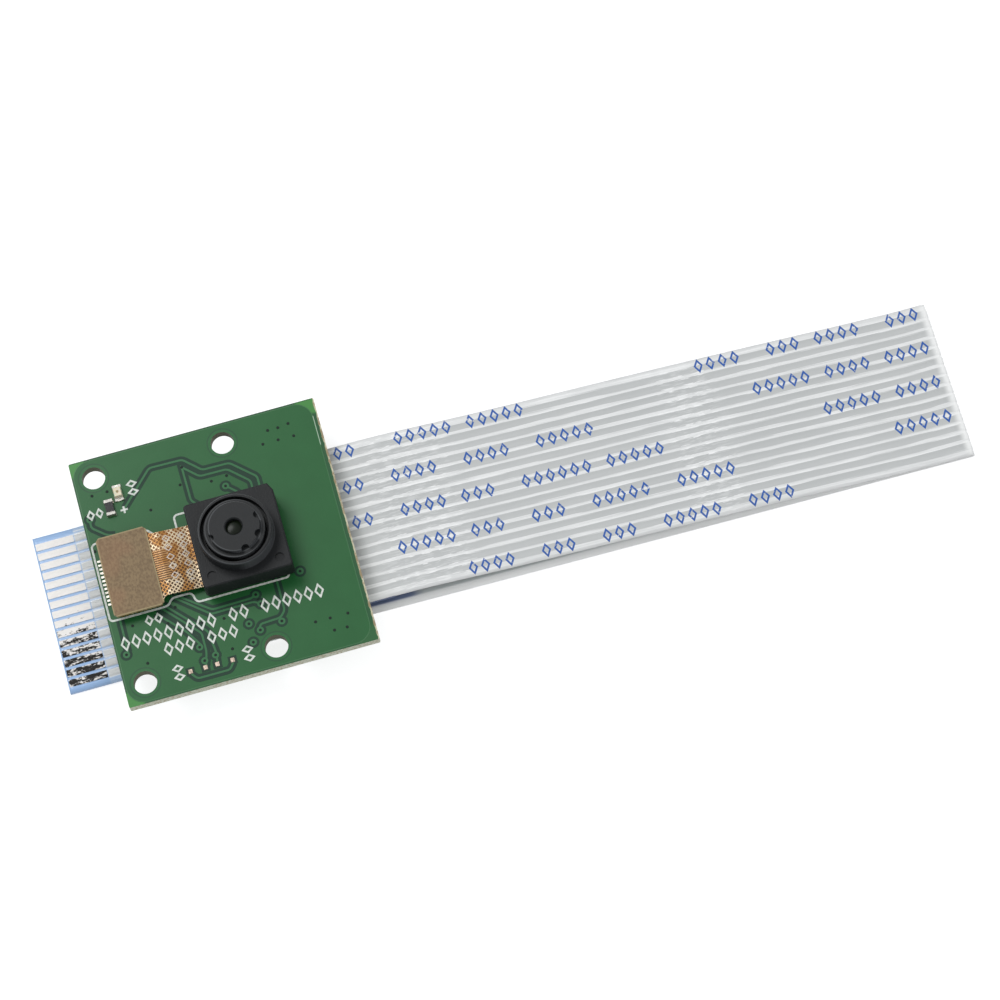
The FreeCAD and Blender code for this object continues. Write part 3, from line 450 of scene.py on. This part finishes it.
# the finish that each node wears
wearers = {
    "circuit_board": "mask", "adhesive_pad": "foam", "sensor_base": "stiffener", "sensor_flex": "flex",
    "flex_stiffener": "stiffener", "flex_plug": "fine", "flex_plug_contacts": "gold",
    "board_receptacle": "fine", "receptacle_contacts": "solder", "status_led_base": "lightBody",
    "status_led_lens": "lightLens", "status_led_terminals": "tin", "led_resistor": "resistor",
    "led_resistor_ends": "tin", "lens_holder": "black", "lens_barrel": "barrel", "front_lens": "glass",
    "middle_lens": "glass", "rear_lens": "glass", "front_lens_spacer": "barrel",
    "rear_lens_spacer": "barrel", "lens_retaining_ring": "barrel", "infrared_filter": "filter",
    "image_sensor": "chip", "capacitor_ends": "tin", "resistor_ends": "tin", "driver_transistor": "resistor",
    "driver_transistor_leads": "tin", "oscillator_base": "oscBase", "oscillator_lid": "oscLid",
    "ribbon_connector_housing": "housing", "ribbon_connector_latch": "latch",
    "ribbon_connector_contacts": "tin", "connector_anchor_tabs": "tin", "ribbon_film": "blue",
    "ribbon_board_end_contacts": "tin", "ribbon_board_end_stiffener": "navyShade",
    "ribbon_free_end_contacts": "ends", "ribbon_free_end_stiffener": "blue",
}
for number in range(1, 9):
    wearers["capacitor_%d" % number] = "capacitor"
for number in range(1, 7):
    wearers["resistor_%d" % number] = "resistor"
for number in range(1, 4):
    wearers["regulator_%d" % number] = "resistor"
    wearers["regulator_%d_leads" % number] = "tin"


for nodeName, node in frame["nodes"].items():
    node.data.materials.clear()
    node.data.materials.append(finishes[wearers[nodeName]])
print("finishes put on the nodes")


# pieces on the board
def addPiece(name, bm, finish):
    made = bpy.data.meshes.new(name)
    bm.to_mesh(made)
    bm.free()
    piece = bpy.data.objects.new(name, made)
    scene.collection.objects.link(piece)
    piece.data.materials.append(finishes[finish])
    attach(piece, "module")
    return piece


# tops are above the board's upper face, and gaps and covers start sunk in it
copper = {"width": 0.2, "gapWidth": 0.78, "gapTop": 0.006, "traceTop": 0.02, "corner": 0.25, "sunk": 0.02,
          "step": 0.0004, "ringGapTop": 0.0102, "ringTop": 0.0242, "viaTop": 0.028, "ringGap": 0.6,
          "ring": 0.36, "via": 0.15, "padGapTop": 0.016, "padTop": 0.05}
underFace = -1.0


def fixOrder(bm):
    # extruding leaves edges and faces in another order each run
    bm.verts.index_update()
    count = len(bm.verts)
    for parts in (bm.edges, bm.faces):
        parts.sort(key=lambda part: min(vert.index for vert in part.verts) * count
                   + max(vert.index for vert in part.verts))


def addStrips(name, paths, width, low, high, finish, rounding=0.0):
    # each path becomes a low wall, and the wall is thickened into a strip of even width
    bm = bmesh.new()
    up = 1 if high > low else -1
    for count, (points, closed) in enumerate(paths):
        # each path is a hair further out, so that no two tops lie in one plane
        base = low + up * count * copper["step"]
        made = [bm.verts.new((x * mm, y * mm, base * mm)) for x, y in points]
        for first, second in zip(made, made[1:]):
            bm.edges.new((first, second))
        if closed:
            bm.edges.new((made[-1], made[0]))
    if rounding:
        corners = [vert for vert in bm.verts if len(vert.link_edges) == 2]
        bmesh.ops.bevel(bm, geom=corners, offset=rounding * mm, offset_type="OFFSET", affect="VERTICES",
                        segments=4, profile=0.5, material=-1, clamp_overlap=True)
        bmesh.ops.remove_doubles(bm, verts=bm.verts[:], dist=0.02 * mm)
    wall = bmesh.ops.extrude_edge_only(bm, edges=bm.edges[:])
    raised = [item for item in wall["geom"] if isinstance(item, bmesh.types.BMVert)]
    bmesh.ops.translate(bm, verts=raised, vec=(0, 0, (high - low) * mm))
    bmesh.ops.recalc_face_normals(bm, faces=bm.faces[:])
    fixOrder(bm)
    piece = addPiece(name, bm, finish)
    thicken = piece.modifiers.new("strip", "SOLIDIFY")
    thicken.thickness = width * mm
    thicken.offset = 0.0
    thicken.use_even_offset = True
    return piece


def addDots(name, places, low, high, finish, segments=14):
    bm = bmesh.new()
    for x, y, radius in places:
        at = Matrix.Translation((x * mm, y * mm, (low + high) / 2 * mm))
        bmesh.ops.create_cone(bm, cap_ends=True, segments=segments, radius1=radius * mm,
                              radius2=radius * 0.92 * mm, depth=(high - low) * mm, matrix=at)
    # dots on the underside are made upside down, so their faces are turned outwards
    bmesh.ops.recalc_face_normals(bm, faces=bm.faces[:])
    return addPiece(name, bm, finish)


def addPads(name, places, low, high, finish, draft=0.9):
    # flat pads with sides that lean in; each is x, y, length, width
    bm = bmesh.new()
    for x, y, length, width in places:
        at = Matrix.Translation((x * mm, y * mm, (low + high) / 2 * mm))
        shape = Matrix.Diagonal((length * mm, width * mm, abs(high - low) * mm, 1))
        made = bmesh.ops.create_cube(bm, size=1.0, matrix=at @ shape)
        top = [vert for vert in made["verts"] if abs(vert.co.z - high * mm) < 1e-7]
        bmesh.ops.scale(bm, vec=(draft, draft, 1), verts=top, space=at.inverted())
    return addPiece(name, bm, finish)


topTraces = [
    [(-4.07, 6.8), (-1.0, 10.0), (2.2, 9.93), (3.8, 8.4), (6.4, 8.35), (8.6, 6.3), (8.6, 4.6)],
    [(2.0, 9.2), (3.4, 7.85), (6.05, 7.8), (7.9, 6.05), (7.9, 4.6)],
    [(2.0, 9.2), (2.05, 5.7), (2.6, 5.1), (3.2, 4.6)],
    [(-7.53, 6.53), (-7.6, 5.7), (-6.33, 4.6), (-5.6, 4.4)],
    [(5.52, 6.2), (6.5, 5.3), (6.5, 4.4)],
    [(7.84, -4.0), (7.84, -7.3), (7.3, -7.9), (5.3, -8.0), (5.2, -8.56)],
    [(-1.6, -3.0), (1.4, -5.35), (5.2, -5.3), (5.63, -5.07)],
    [(-2.0, -3.0), (1.2, -5.75), (5.3, -5.7), (5.87, -6.07)],
    [(-2.9, -3.6), (0.5, -7.3), (0.75, -9.5), (0.62, -10.6)],
    [(-3.3, -3.7), (-0.1, -7.3), (-0.1, -9.2), (-0.45, -10.5)],
    [(-3.8, -4.2), (-1.4, -6.8), (-0.41, -8.45)],
    [(-7.1, -3.7), (-7.1, -7.2)],
    [(-1.95, -10.9), (-1.5, -11.5), (1.6, -11.5), (2.03, -10.9)],
]
vias = [(-6.8, 8.8), (-5.33, 8.83), (-1.8, 5.87), (1.44, 7.53), (4.35, 7.05), (5.86, 7.19), (2.0, 9.2),
        (-7.8, 3.33), (10.67, 10.5), (11.66, 10.5), (12.69, 10.64), (9.9, 9.28), (11.39, 9.3), (12.9, 9.28),
        (10.31, -9.23), (11.7, -9.24), (13.4, -9.24), (11.8, -10.5), (13.0, -10.53), (-6.1, -4.8),
        (-1.87, -4.15), (-5.6, -8.75), (-2.87, -5.5), (0.17, -6.3), (2.24, -6.5), (2.28, -9.6)]
testRings = [(-7.53, 6.53), (5.52, 6.2), (10.16, -4.0), (5.63, -5.07), (5.87, -6.07), (4.33, -7.67),
             (5.2, -8.56), (7.33, -8.27), (4.29, -9.53), (-7.3, -7.4), (-0.61, -8.6), (-0.47, -10.0),
             (0.63, -9.75)]
traceLines = [(points, False) for points in topTraces]
sunk = -copper["sunk"]
addStrips("trace_gaps", traceLines, copper["gapWidth"], sunk, copper["gapTop"], "gap",
          copper["corner"])
addStrips("trace_covers", traceLines, copper["width"], sunk, copper["traceTop"], "trace",
          copper["corner"])
addDots("ring_gaps", [(x, y, copper["ringGap"]) for x, y in testRings], sunk, copper["ringGapTop"], "gap",
        20)
addDots("ring_covers", [(x, y, copper["ring"]) for x, y in testRings], sunk, copper["ringTop"], "trace",
        20)
addDots("via_dots", [(x, y, copper["via"]) for x, y in vias + testRings], sunk, copper["viaTop"], "via")
barePads = {"xs": (-1.98, -0.55, 0.58, 2.03), "y": -10.66, "gap": (0.84, 0.82), "size": (0.46, 0.5)}
addPads("pad_gaps", [(x, barePads["y"], *barePads["gap"]) for x in barePads["xs"]], sunk,
        copper["padGapTop"], "gap", 0.98)
addPads("bare_pads", [(x, barePads["y"], *barePads["size"]) for x in barePads["xs"]], sunk,
        copper["padTop"], "pad", 0.8)

# the white legend: outlines of the parts, signs and rows of open diamonds
legend = {"width": 0.19, "diamondWidth": 0.17, "top": 0.03, "corner": 0.35}
outlines = [
    ([(-7.2, 4.1), (-8.0, 4.0), (-8.0, -3.85), (-2.4, -3.85), (-2.0, -3.2), (-0.05, -3.2), (0.2, -4.25),
      (9.1, -4.25), (9.1, -3.4)], False),
    ([(-3.4, 4.1), (-2.7, 4.1), (-2.1, 3.4)], False),
    ([(0.1, 3.2), (0.1, 4.7), (1.6, 4.7)], False),
]
addStrips("legend_outline", outlines, legend["width"], sunk, legend["top"], "legend",
          legend["corner"])
signs = [([(-4.55, 6.6), (-3.85, 6.6)], False), ([(-4.2, 6.25), (-4.2, 6.95)], False)]
addStrips("legend_signs", signs, legend["width"], sunk, legend["top"], "legend")


def diamond(x, y, halfLength, halfHeight):
    return ([(x + halfLength, y), (x, y + halfHeight), (x - halfLength, y), (x, y - halfHeight)], True)


# rows of open diamonds: first x and y, pitch along x and y, how many in each group, half length and height
diamondRows = [
    (-7.15, -6.35, 1.03, 0.0, (9, 2, 6), 0.36, 0.6), (-3.4, -7.95, 1.03, 0.0, (3, 3), 0.36, 0.56),
    (-2.95, 8.95, 0.0, -0.85, (2,), 0.42, 0.3), (-6.5, 6.9, -0.85, 0.0, (2,), 0.3, 0.42),
    (-4.5, -4.75, 0.9, 0.0, (2,), 0.32, 0.42), (-3.05, -10.9, 0.0, 0.85, (2,), 0.42, 0.3),
    (3.6, -10.9, 0.0, 0.85, (2,), 0.42, 0.3),
]
marks = []
for startX, startY, stepX, stepY, groups, halfLength, halfHeight in diamondRows:
    spot = 0
    for count in groups:
        for index in range(count):
            marks.append(diamond(startX + stepX * spot, startY + stepY * spot, halfLength, halfHeight))
            spot += 1
        # one place is left out between two groups
        spot += 1
addStrips("legend_diamonds", marks, legend["diamondWidth"], sunk, legend["top"], "legend")

# the underside's copper and legend
underTraces = [
    [(9.3, 5.0), (8.2, 5.0), (7.7, 5.4), (6.9, 5.4)], [(9.3, 4.0), (8.0, 4.0), (6.96, 3.3)],
    [(9.3, 3.0), (8.2, 3.0), (7.2, 1.7), (5.56, 1.7)], [(9.3, 1.0), (3.2, 1.0), (1.6, -0.6), (-0.8, -0.6)],
    [(9.3, 0.0), (5.4, 0.0), (2.0, -1.8), (-0.7, -1.9)], [(9.3, -1.0), (6.0, -1.0), (4.5, -2.7)],
    [(9.3, -2.0), (6.6, -2.0), (5.4, -3.4), (4.95, -3.4)], [(9.3, -5.0), (8.0, -5.0), (6.8, -6.4)],
    [(9.3, -6.0), (8.4, -6.0), (7.4, -7.0), (6.9, -7.0)], [(-0.2, 9.6), (0.8, 9.6)],
    [(-3.0, 6.6), (-2.0, 7.2), (-1.9, 7.9)], [(-3.0, 1.7), (-2.2, 1.7), (-1.2, 2.8)],
    [(-3.0, -3.2), (-2.2, -3.2), (-1.2, -1.9)], [(-5.9, 7.4), (-7.2, 6.4), (-7.2, 1.0), (-6.0, 0.6)],
    [(-6.0, 2.6), (-6.7, 2.0), (-6.7, -4.9)], [(2.8, 7.4), (4.4, 7.4), (5.3, 6.4), (5.3, 5.7)],
]
underLines = [(points, False) for points in underTraces]
underSunk = underFace + copper["sunk"]
addStrips("under_gaps", underLines, copper["gapWidth"], underSunk, underFace - copper["gapTop"], "gap",
          copper["corner"])
addStrips("under_covers", underLines, copper["width"], underSunk, underFace - copper["traceTop"], "trace",
          copper["corner"])
addDots("under_vias", [(x, y, copper["via"]) for x, y in vias], underSunk, underFace - copper["viaTop"],
        "via")
underLegend = [([(10.0, 10.5), (9.1, 10.5), (9.1, -10.5), (10.0, -10.5)], False),
               ([(1.3, -2.7), (1.3, -5.9), (5.1, -5.9), (5.1, -2.7)], False)]
# a bar beyond each regulator
regulatorYs = (6.6, 1.7, -3.2)
for middle in regulatorYs:
    underLegend.append(([(-5.2, middle + 1.8), (-3.2, middle + 1.8)], False))
addStrips("under_legend", underLegend, legend["width"], underSunk, underFace - legend["top"], "legend",
          legend["corner"])


# each fillet reaches past its terminal by a margin
solder = {"height": 0.14, "draft": 0.72, "topMargin": 0.07, "underMargin": 0.16}


def islandBoxes(nodeName):
    # the outline in x and y, in mm, of every loose part of a node, in a fixed order
    node = frame["nodes"][nodeName]
    bm = bmesh.new()
    bm.from_mesh(node.data)
    bm.transform(node.matrix_world)
    bmesh.ops.remove_doubles(bm, verts=bm.verts[:], dist=0.0005 * mm)
    waiting = set(bm.verts)
    boxes = []
    while waiting:
        edge = [waiting.pop()]
        part = []
        while edge:
            vert = edge.pop()
            part.append(vert.co / mm)
            for link in vert.link_edges:
                other = link.other_vert(vert)
                if other in waiting:
                    waiting.discard(other)
                    edge.append(other)
        xs = [spot.x for spot in part]
        ys = [spot.y for spot in part]
        boxes.append((min(xs), max(xs), min(ys), max(ys)))
    bm.free()
    return sorted(boxes)


def addSolder(name, nodeNames, face, up, margin):
    pads = []
    for nodeName in nodeNames:
        for lowX, highX, lowY, highY in islandBoxes(nodeName):
            pads.append(((lowX + highX) / 2, (lowY + highY) / 2, highX - lowX + 2 * margin,
                         highY - lowY + 2 * margin))
    addPads(name, pads, face - up * copper["sunk"], face + up * solder["height"], "solder",
            solder["draft"])


addSolder("top_solder", ["status_led_terminals", "led_resistor_ends"], 0.0, 1, solder["topMargin"])
addSolder("under_solder", ["capacitor_ends", "resistor_ends", "regulator_1_leads", "regulator_2_leads",
                           "regulator_3_leads", "driver_transistor_leads", "ribbon_connector_contacts",
                           "connector_anchor_tabs"], underFace, -1, solder["underMargin"])
print("board's traces, vias, legend and solder made")


# the ribbon: halves are half thicknesses, at a band and between bands; rowCuts are the places across a
# band where the section has points; bare is the length at each end where one side's film is left off
ribbon = {"width": 16.0, "bands": 15, "pitch": 1.0, "bandWidth": 0.7, "slope": 0.1, "bandHalf": 0.11,
          "webHalf": 0.07, "backing": 0.09, "bare": 3.8, "lineSteps": 24,
          "rowCuts": (-0.45, -0.4, -0.35, -0.12, 0.12, 0.35, 0.4, 0.45)}
# where the film changes, in millimetres along it; the map adds innerSide along for the lower side
film = {"bareStart": 3.7, "navyShadeEnd": 6.8, "creases": ((7.0, 15.0), (36.0, 41.0)), "fold": 61.8,
        "gapShadeByBoard": (116.5, 122.0), "stiffener": 143.0, "bareEnd": 146.1, "innerSide": 1000,
        "mapScale": 100}
# the middle line from the connector, round the fold at the right and back under the board to the free end
ribbonLine = [(11.162, 0.0, -2.3), (15.0, 0.0, -2.3), (20.66, 0.0, -2.3), (29.16, -0.2, -2.93),
              (49.66, -0.83, -2.83), (69.6, -1.4, -3.555), (73.2, -1.4, -3.555), (73.79, -1.4, -3.555),
              (73.79, -1.4, -3.875), (73.2, -1.4, -3.875), (-9.65, -0.3, -3.684), (-13.45, -0.3, -3.675)]


def readLine(points):
    # the ribbon's middle line as a smooth spline, read back as many short steps
    curve = bpy.data.curves.new("ribbonLine", "CURVE")
    curve.dimensions = "3D"
    curve.resolution_u = ribbon["lineSteps"]
    spline = curve.splines.new("NURBS")
    spline.points.add(len(points) - 1)
    for point, place in zip(spline.points, points):
        point.co = (*[value * mm for value in place], 1.0)
    spline.order_u = 3
    spline.use_endpoint_u = True
    holder = bpy.data.objects.new("ribbonLine", curve)
    mesh = bpy.data.meshes.new_from_object(holder)
    steps = [vert.co.copy() for vert in mesh.vertices]
    bpy.data.objects.remove(holder)
    bpy.data.meshes.remove(mesh)
    return steps


def bandHeight(across):
    # half thickness at a distance across the ribbon, in mm
    nearest = round(across / ribbon["pitch"])
    reach = (ribbon["bands"] - 1) / 2
    nearest = max(-reach, min(reach, nearest))
    off = abs(across - nearest * ribbon["pitch"])
    share = (off - ribbon["bandWidth"] / 2) / ribbon["slope"]
    share = max(0.0, min(1.0, share))
    share = share * share * (3 - 2 * share)
    return ribbon["bandHalf"] + (ribbon["webHalf"] - ribbon["bandHalf"]) * share


def makeRibbon():
    steps = readLine(ribbonLine)
    reach = [0.0]
    for first, second in zip(steps, steps[1:]):
        reach.append(reach[-1] + (second - first).length)
    total = reach[-1]
    print("ribbon line: %.2f mm in %d steps" % (total / mm, len(steps)))
    across = [-ribbon["width"] / 2]
    for index in range(ribbon["bands"]):
        center = (index - (ribbon["bands"] - 1) / 2) * ribbon["pitch"]
        across += [center + off for off in ribbon["rowCuts"]]
    across.append(ribbon["width"] / 2)
    rows = len(steps) - 1
    columns = len(across) - 1
    # a flat grid gets its second face, and then each point goes to its place along and across the ribbon
    bm = bmesh.new()
    place = bm.verts.layers.float_vector.new("place")
    layer = bm.loops.layers.uv.new("ribbonPlace")
    bmesh.ops.create_grid(bm, x_segments=rows, y_segments=columns, size=0.5)
    raised = bmesh.ops.extrude_face_region(bm, geom=bm.faces[:])
    tops = {item for item in raised["geom"] if isinstance(item, bmesh.types.BMVert)}
    for vert in bm.verts:
        row = round((vert.co.x + 0.5) * rows)
        column = round((vert.co.y + 0.5) * columns)
        here = steps[row]
        ahead = steps[min(row + 1, rows)] - steps[max(row - 1, 0)]
        ahead.y = 0.0
        ahead.normalize()
        out = Vector((-ahead.z, 0.0, ahead.x))
        along = reach[row] / mm
        edge = ribbon["bandHalf"]
        if along < ribbon["bare"]:
            low, high = -edge, ribbon["backing"] - edge
        elif total / mm - along < ribbon["bare"]:
            low, high = edge - ribbon["backing"], edge
        else:
            high = bandHeight(across[column])
            low = -high
        offset = high if vert in tops else low
        vert[place] = (across[column], along, 1.0 if vert in tops else 0.0)
        vert.co = here + Vector((0.0, across[column] * mm, 0.0)) + out * offset * mm
    bmesh.ops.recalc_face_normals(bm, faces=bm.faces[:])
    if bm.calc_volume(signed=True) < 0:
        bmesh.ops.reverse_faces(bm, faces=bm.faces[:])
    fixOrder(bm)
    # the map holds places across and along the ribbon
    for face in bm.faces:
        face.smooth = True
        under = any(loop.vert[place][2] < 0.5 for loop in face.loops)
        added = film["innerSide"] if under else 0
        for loop in face.loops:
            spot = loop.vert[place]
            loop[layer].uv = (spot[0] / film["mapScale"], (spot[1] + added) / film["mapScale"])
    bm.verts.layers.float_vector.remove(place)
    return bm


# print on the ribbon: rows of open blue diamonds, each with its place across and its groups along the ribbon
printing = {"pitch": 1.17, "repeat": 66.0, "end": 140.0, "halfLength": 0.45, "halfHeight": 0.74,
            "ink": tone(0, 84, 172)}
printRows = [
    (7.25, ((4.4, 7.6), (10.0, 15.8), (17.8, 23.0), (39.3, 44.5), (46.4, 50.2), (52.0, 56.0), (58.0, 61.5))),
    (3.65, ((4.4, 7.4), (9.6, 13.5), (15.8, 21.5), (23.6, 29.0), (45.0, 50.0), (52.0, 56.0), (57.8, 61.5))),
    (0.05, ((4.4, 7.4), (9.8, 13.5), (15.5, 19.2), (21.5, 27.5), (29.3, 34.6), (50.8, 56.0), (57.8, 61.5))),
    (-3.55, ((8.2, 13.5), (15.5, 19.2), (21.3, 25.0), (27.3, 33.2), (35.3, 40.5), (56.5, 61.5))),
    (-7.15, ((14.0, 19.2), (21.3, 25.0), (27.0, 31.0), (33.3, 39.0), (40.8, 46.0))),
]


def makeRibbonFilm():
    net = Net("ribbonFilm")
    raw = net.node("ShaderNodeUVMap", {"uv_map": "ribbonPlace"}, {})
    place = net.node("ShaderNodeMapping", {}, {"Vector": raw, "Scale": (film["mapScale"],) * 3})
    u, v = net.split(place)[:2]
    centered = abs((u + 0.5) % 1.0 - 0.5)
    band = (1 - centered.ramp(0.3, 0.42)) * (1 - abs(u).ramp(7.4, 7.5))
    along = v % film["innerSide"]
    cloud = net.noise(0.12, 3.0, (2.0, 0.4, 1.0), place)
    streak = net.noise(1.2, 3.0, (3.0, 0.25, 1.0), place)
    # painted shade across each band: lighter on one side and darker on the other, as a lit ridge
    side = (u + 0.5) % 1.0 - 0.5
    grey = net.mix(cloud * 0.6 + (0.35 - side) * 0.5, tone(180, 183, 183), tone(210, 212, 212))
    white = net.mix(streak, tone(222, 224, 224), tone(244, 245, 245))
    onStiffener = along.ramp(film["stiffener"], film["stiffener"] + 0.2)
    bareStart = 1 - along.ramp(film["bareStart"], film["bareStart"] + 0.2)
    bareEnd = along.ramp(film["bareEnd"], film["bareEnd"] + 0.2)
    lower = along.ramp(film["fold"], film["fold"] + 0.8) * (1 - onStiffener)
    # white glints on the ridges beside each band, most of them near the board and in the middle
    nearCrease, farCrease = [along.between(first, last, 1.5) for first, last in film["creases"]]
    creases = (nearCrease + farCrease).held()
    ridge = centered.between(0.27, 0.45, 0.04)
    dashes = net.noise(2.2, 2.0, (3.0, 0.4, 1.0), place).ramp(0.5, 0.6)
    streaks = net.noise(1.4, 3.0, (3.0, 0.09, 1.0), place).ramp(0.48, 0.58)
    glint = (dashes * creases + streaks * ridge * 0.75).held() * (ridge * 0.8 + 0.2) * (1 - lower)
    blue = net.mix(cloud, tone(150, 186, 232), tone(172, 202, 240))
    white = net.mix(onStiffener * 0.75, white, blue)
    color = net.mix(band, white, grey)
    # painted light: the lower layer is lifted to near white, out of the shade of the layer above
    color = net.mix(lower * 0.95, color, tone(252, 253, 252))
    color = net.mix(glint, color, tone(252, 253, 253))
    color = net.mix((bareEnd + bareStart).held(), color, blue)
    inner = v > film["innerSide"] - 1
    # navy on the inner side near the board end: painted shade
    navyShade = inner * (1 - along.ramp(film["navyShadeEnd"], film["navyShadeEnd"] + 0.2))
    color = net.mix(navyShade, color, tone(64, 88, 134))
    # the lower layer's inner side, seen in the gap under the upper layer, gets painted shade: grey, and navy
    # near the board as a painted reflection of the stiffener
    gapShade = inner * lower * u.ramp(-7.5, -7.2)
    navyReflection = along.between(*film["gapShadeByBoard"], 0.8)
    color = net.mix(gapShade * 0.9, color, net.mix(navyReflection, tone(190, 196, 196), tone(84, 104, 148)))
    ink = None
    printed = v % printing["repeat"]
    cell = printed / printing["pitch"]
    center = (cell - cell % 1.0 + 0.5) * printing["pitch"]
    fromCenter = abs(printed - center) / printing["halfLength"]
    for rowPlace, groups in printRows:
        inGroups = None
        for first, last in groups:
            group = center.between(first, last, 0.001)
            inGroups = group if inGroups is None else inGroups + group
        outline = (abs(u - rowPlace) / printing["halfHeight"] + fromCenter).between(0.53, 1.0, 0.05)
        rowInk = outline * inGroups
        ink = rowInk if ink is None else ink + rowInk
    blot = net.noise(3.0, 2.0, (1, 1, 1), place).ramp(0.25, 0.4)
    ink = (ink * blot * (v < printing["end"])).held()
    color = net.mix(ink * 0.95, color, printing["ink"])
    crinkle = net.noise(0.9, 4.0, (2.6, 0.7, 1.0), place)
    roughness = 0.26 + streak * 0.14 + ink * 0.2 - glint * 0.1
    return net.finish(color, roughness=roughness, height=crinkle * 0.7 + band * 0.3, depth=0.06,
                      fixed={"Coat Weight": 0.4, "Coat Roughness": 0.14})


finishes["ribbon"] = makeRibbonFilm()
ribbonSheet = addPiece("ribbon_sheet", makeRibbon(), "ribbon")
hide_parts("ribbon_film")
print("ribbon made")


# floor, lamps and camera; lamps give a place in metres, a size in metres and a power in watts
studio = {"floorZ": -4.02, "floorSize": 3000.0, "worldStrength": 0.5, "aim": (0.03, 0, 0)}
lamps = {
    "keyLamp": ((-0.25, 0.32, 0.6), 0.35, 2.52),
    "fillLamp": ((0.45, -0.3, 0.5), 0.5, 0.9),
    "underLamp": ((0.03, -0.05, -0.5), 0.6, 1.2),
}
view = {"focal": 152.3416, "sensor": 36.0, "place": (0.01479022, -0.14339738, 0.36727168),
        "turn": (20.821823, 3.499146, -15.202823)}


def makeFloor():
    bm = bmesh.new()
    bmesh.ops.create_grid(bm, x_segments=1, y_segments=1, size=studio["floorSize"] / 2 * mm)
    bmesh.ops.translate(bm, verts=bm.verts[:], vec=(studio["aim"][0], 0, studio["floorZ"] * mm))
    mesh = bpy.data.meshes.new("floor")
    bm.to_mesh(mesh)
    bm.free()
    floor = bpy.data.objects.new("floor", mesh)
    scene.collection.objects.link(floor)
    net = Net("floorPaper")
    path = "ShaderNodeLightPath"
    # white where it is seen, straight, mirrored or through glass
    seen = net.node(path, {}, {}, "Is Camera Ray").most(net.node(path, {}, {}, "Is Glossy Ray"))
    seen = seen.most(net.node(path, {}, {}, "Is Transmission Ray"))
    grain = net.noise(0.4, 2.0)
    paper = net.mix(grain, tone(170, 171, 173), tone(174, 175, 177))
    glow = net.mix(seen, (0, 0, 0, 1), (1, 1, 1, 1))
    shader = net.node("ShaderNodeBsdfPrincipled", {}, {"Base Color": paper, "Roughness": 0.9,
                                                       "Emission Color": glow, "Emission Strength": 0.8})
    # clear from below and to shadow rays, so that the underside is seen and lit
    behind = net.node("ShaderNodeNewGeometry", {}, {}, "Backfacing")
    behind = behind.most(net.node(path, {}, {}, "Is Shadow Ray"))
    clear = net.node("ShaderNodeBsdfTransparent", {}, {})
    oneSided = net.node("ShaderNodeMixShader", {}, {0: behind, 1: shader, 2: clear})
    net.node("ShaderNodeOutputMaterial", {}, {"Surface": oneSided})
    floor.data.materials.append(net.material)


def makeWorld():
    # white to the camera, softer and bluer as light
    world = bpy.data.worlds.new("studio")
    world.use_nodes = True
    tree = world.node_tree
    tree.nodes.clear()
    path = tree.nodes.new("ShaderNodeLightPath")
    lit = tree.nodes.new("ShaderNodeBackground")
    lit.inputs["Color"].default_value = (0.97, 0.985, 1.0, 1.0)
    lit.inputs["Strength"].default_value = studio["worldStrength"]
    white = tree.nodes.new("ShaderNodeBackground")
    white.inputs["Color"].default_value = (1, 1, 1, 1)
    white.inputs["Strength"].default_value = 1.0
    pick = tree.nodes.new("ShaderNodeMixShader")
    out = tree.nodes.new("ShaderNodeOutputWorld")
    tree.links.new(path.outputs["Is Camera Ray"], pick.inputs[0])
    tree.links.new(lit.outputs[0], pick.inputs[1])
    tree.links.new(white.outputs[0], pick.inputs[2])
    tree.links.new(pick.outputs[0], out.inputs[0])
    scene.world = world


def addLamp(name, place, size, power):
    lamp = bpy.data.lights.new(name, "AREA")
    lamp.shape = "SQUARE"
    lamp.size = size
    lamp.energy = power
    holder = bpy.data.objects.new(name, lamp)
    holder.location = place
    toward = Vector(studio["aim"]) - Vector(place)
    holder.rotation_euler = toward.to_track_quat("-Z", "Y").to_euler()
    scene.collection.objects.link(holder)


def makeCamera():
    data = bpy.data.cameras.new("camera")
    data.lens = view["focal"]
    data.sensor_width = view["sensor"]
    data.clip_start = 0.01
    data.clip_end = 10.0
    camera = bpy.data.objects.new("camera", data)
    camera.location = view["place"]
    camera.rotation_euler = [math.radians(angle) for angle in view["turn"]]
    scene.collection.objects.link(camera)
    scene.camera = camera


makeFloor()
makeWorld()
for lampName, (place, size, power) in lamps.items():
    addLamp(lampName, place, size, power)
makeCamera()
print("studio ready")
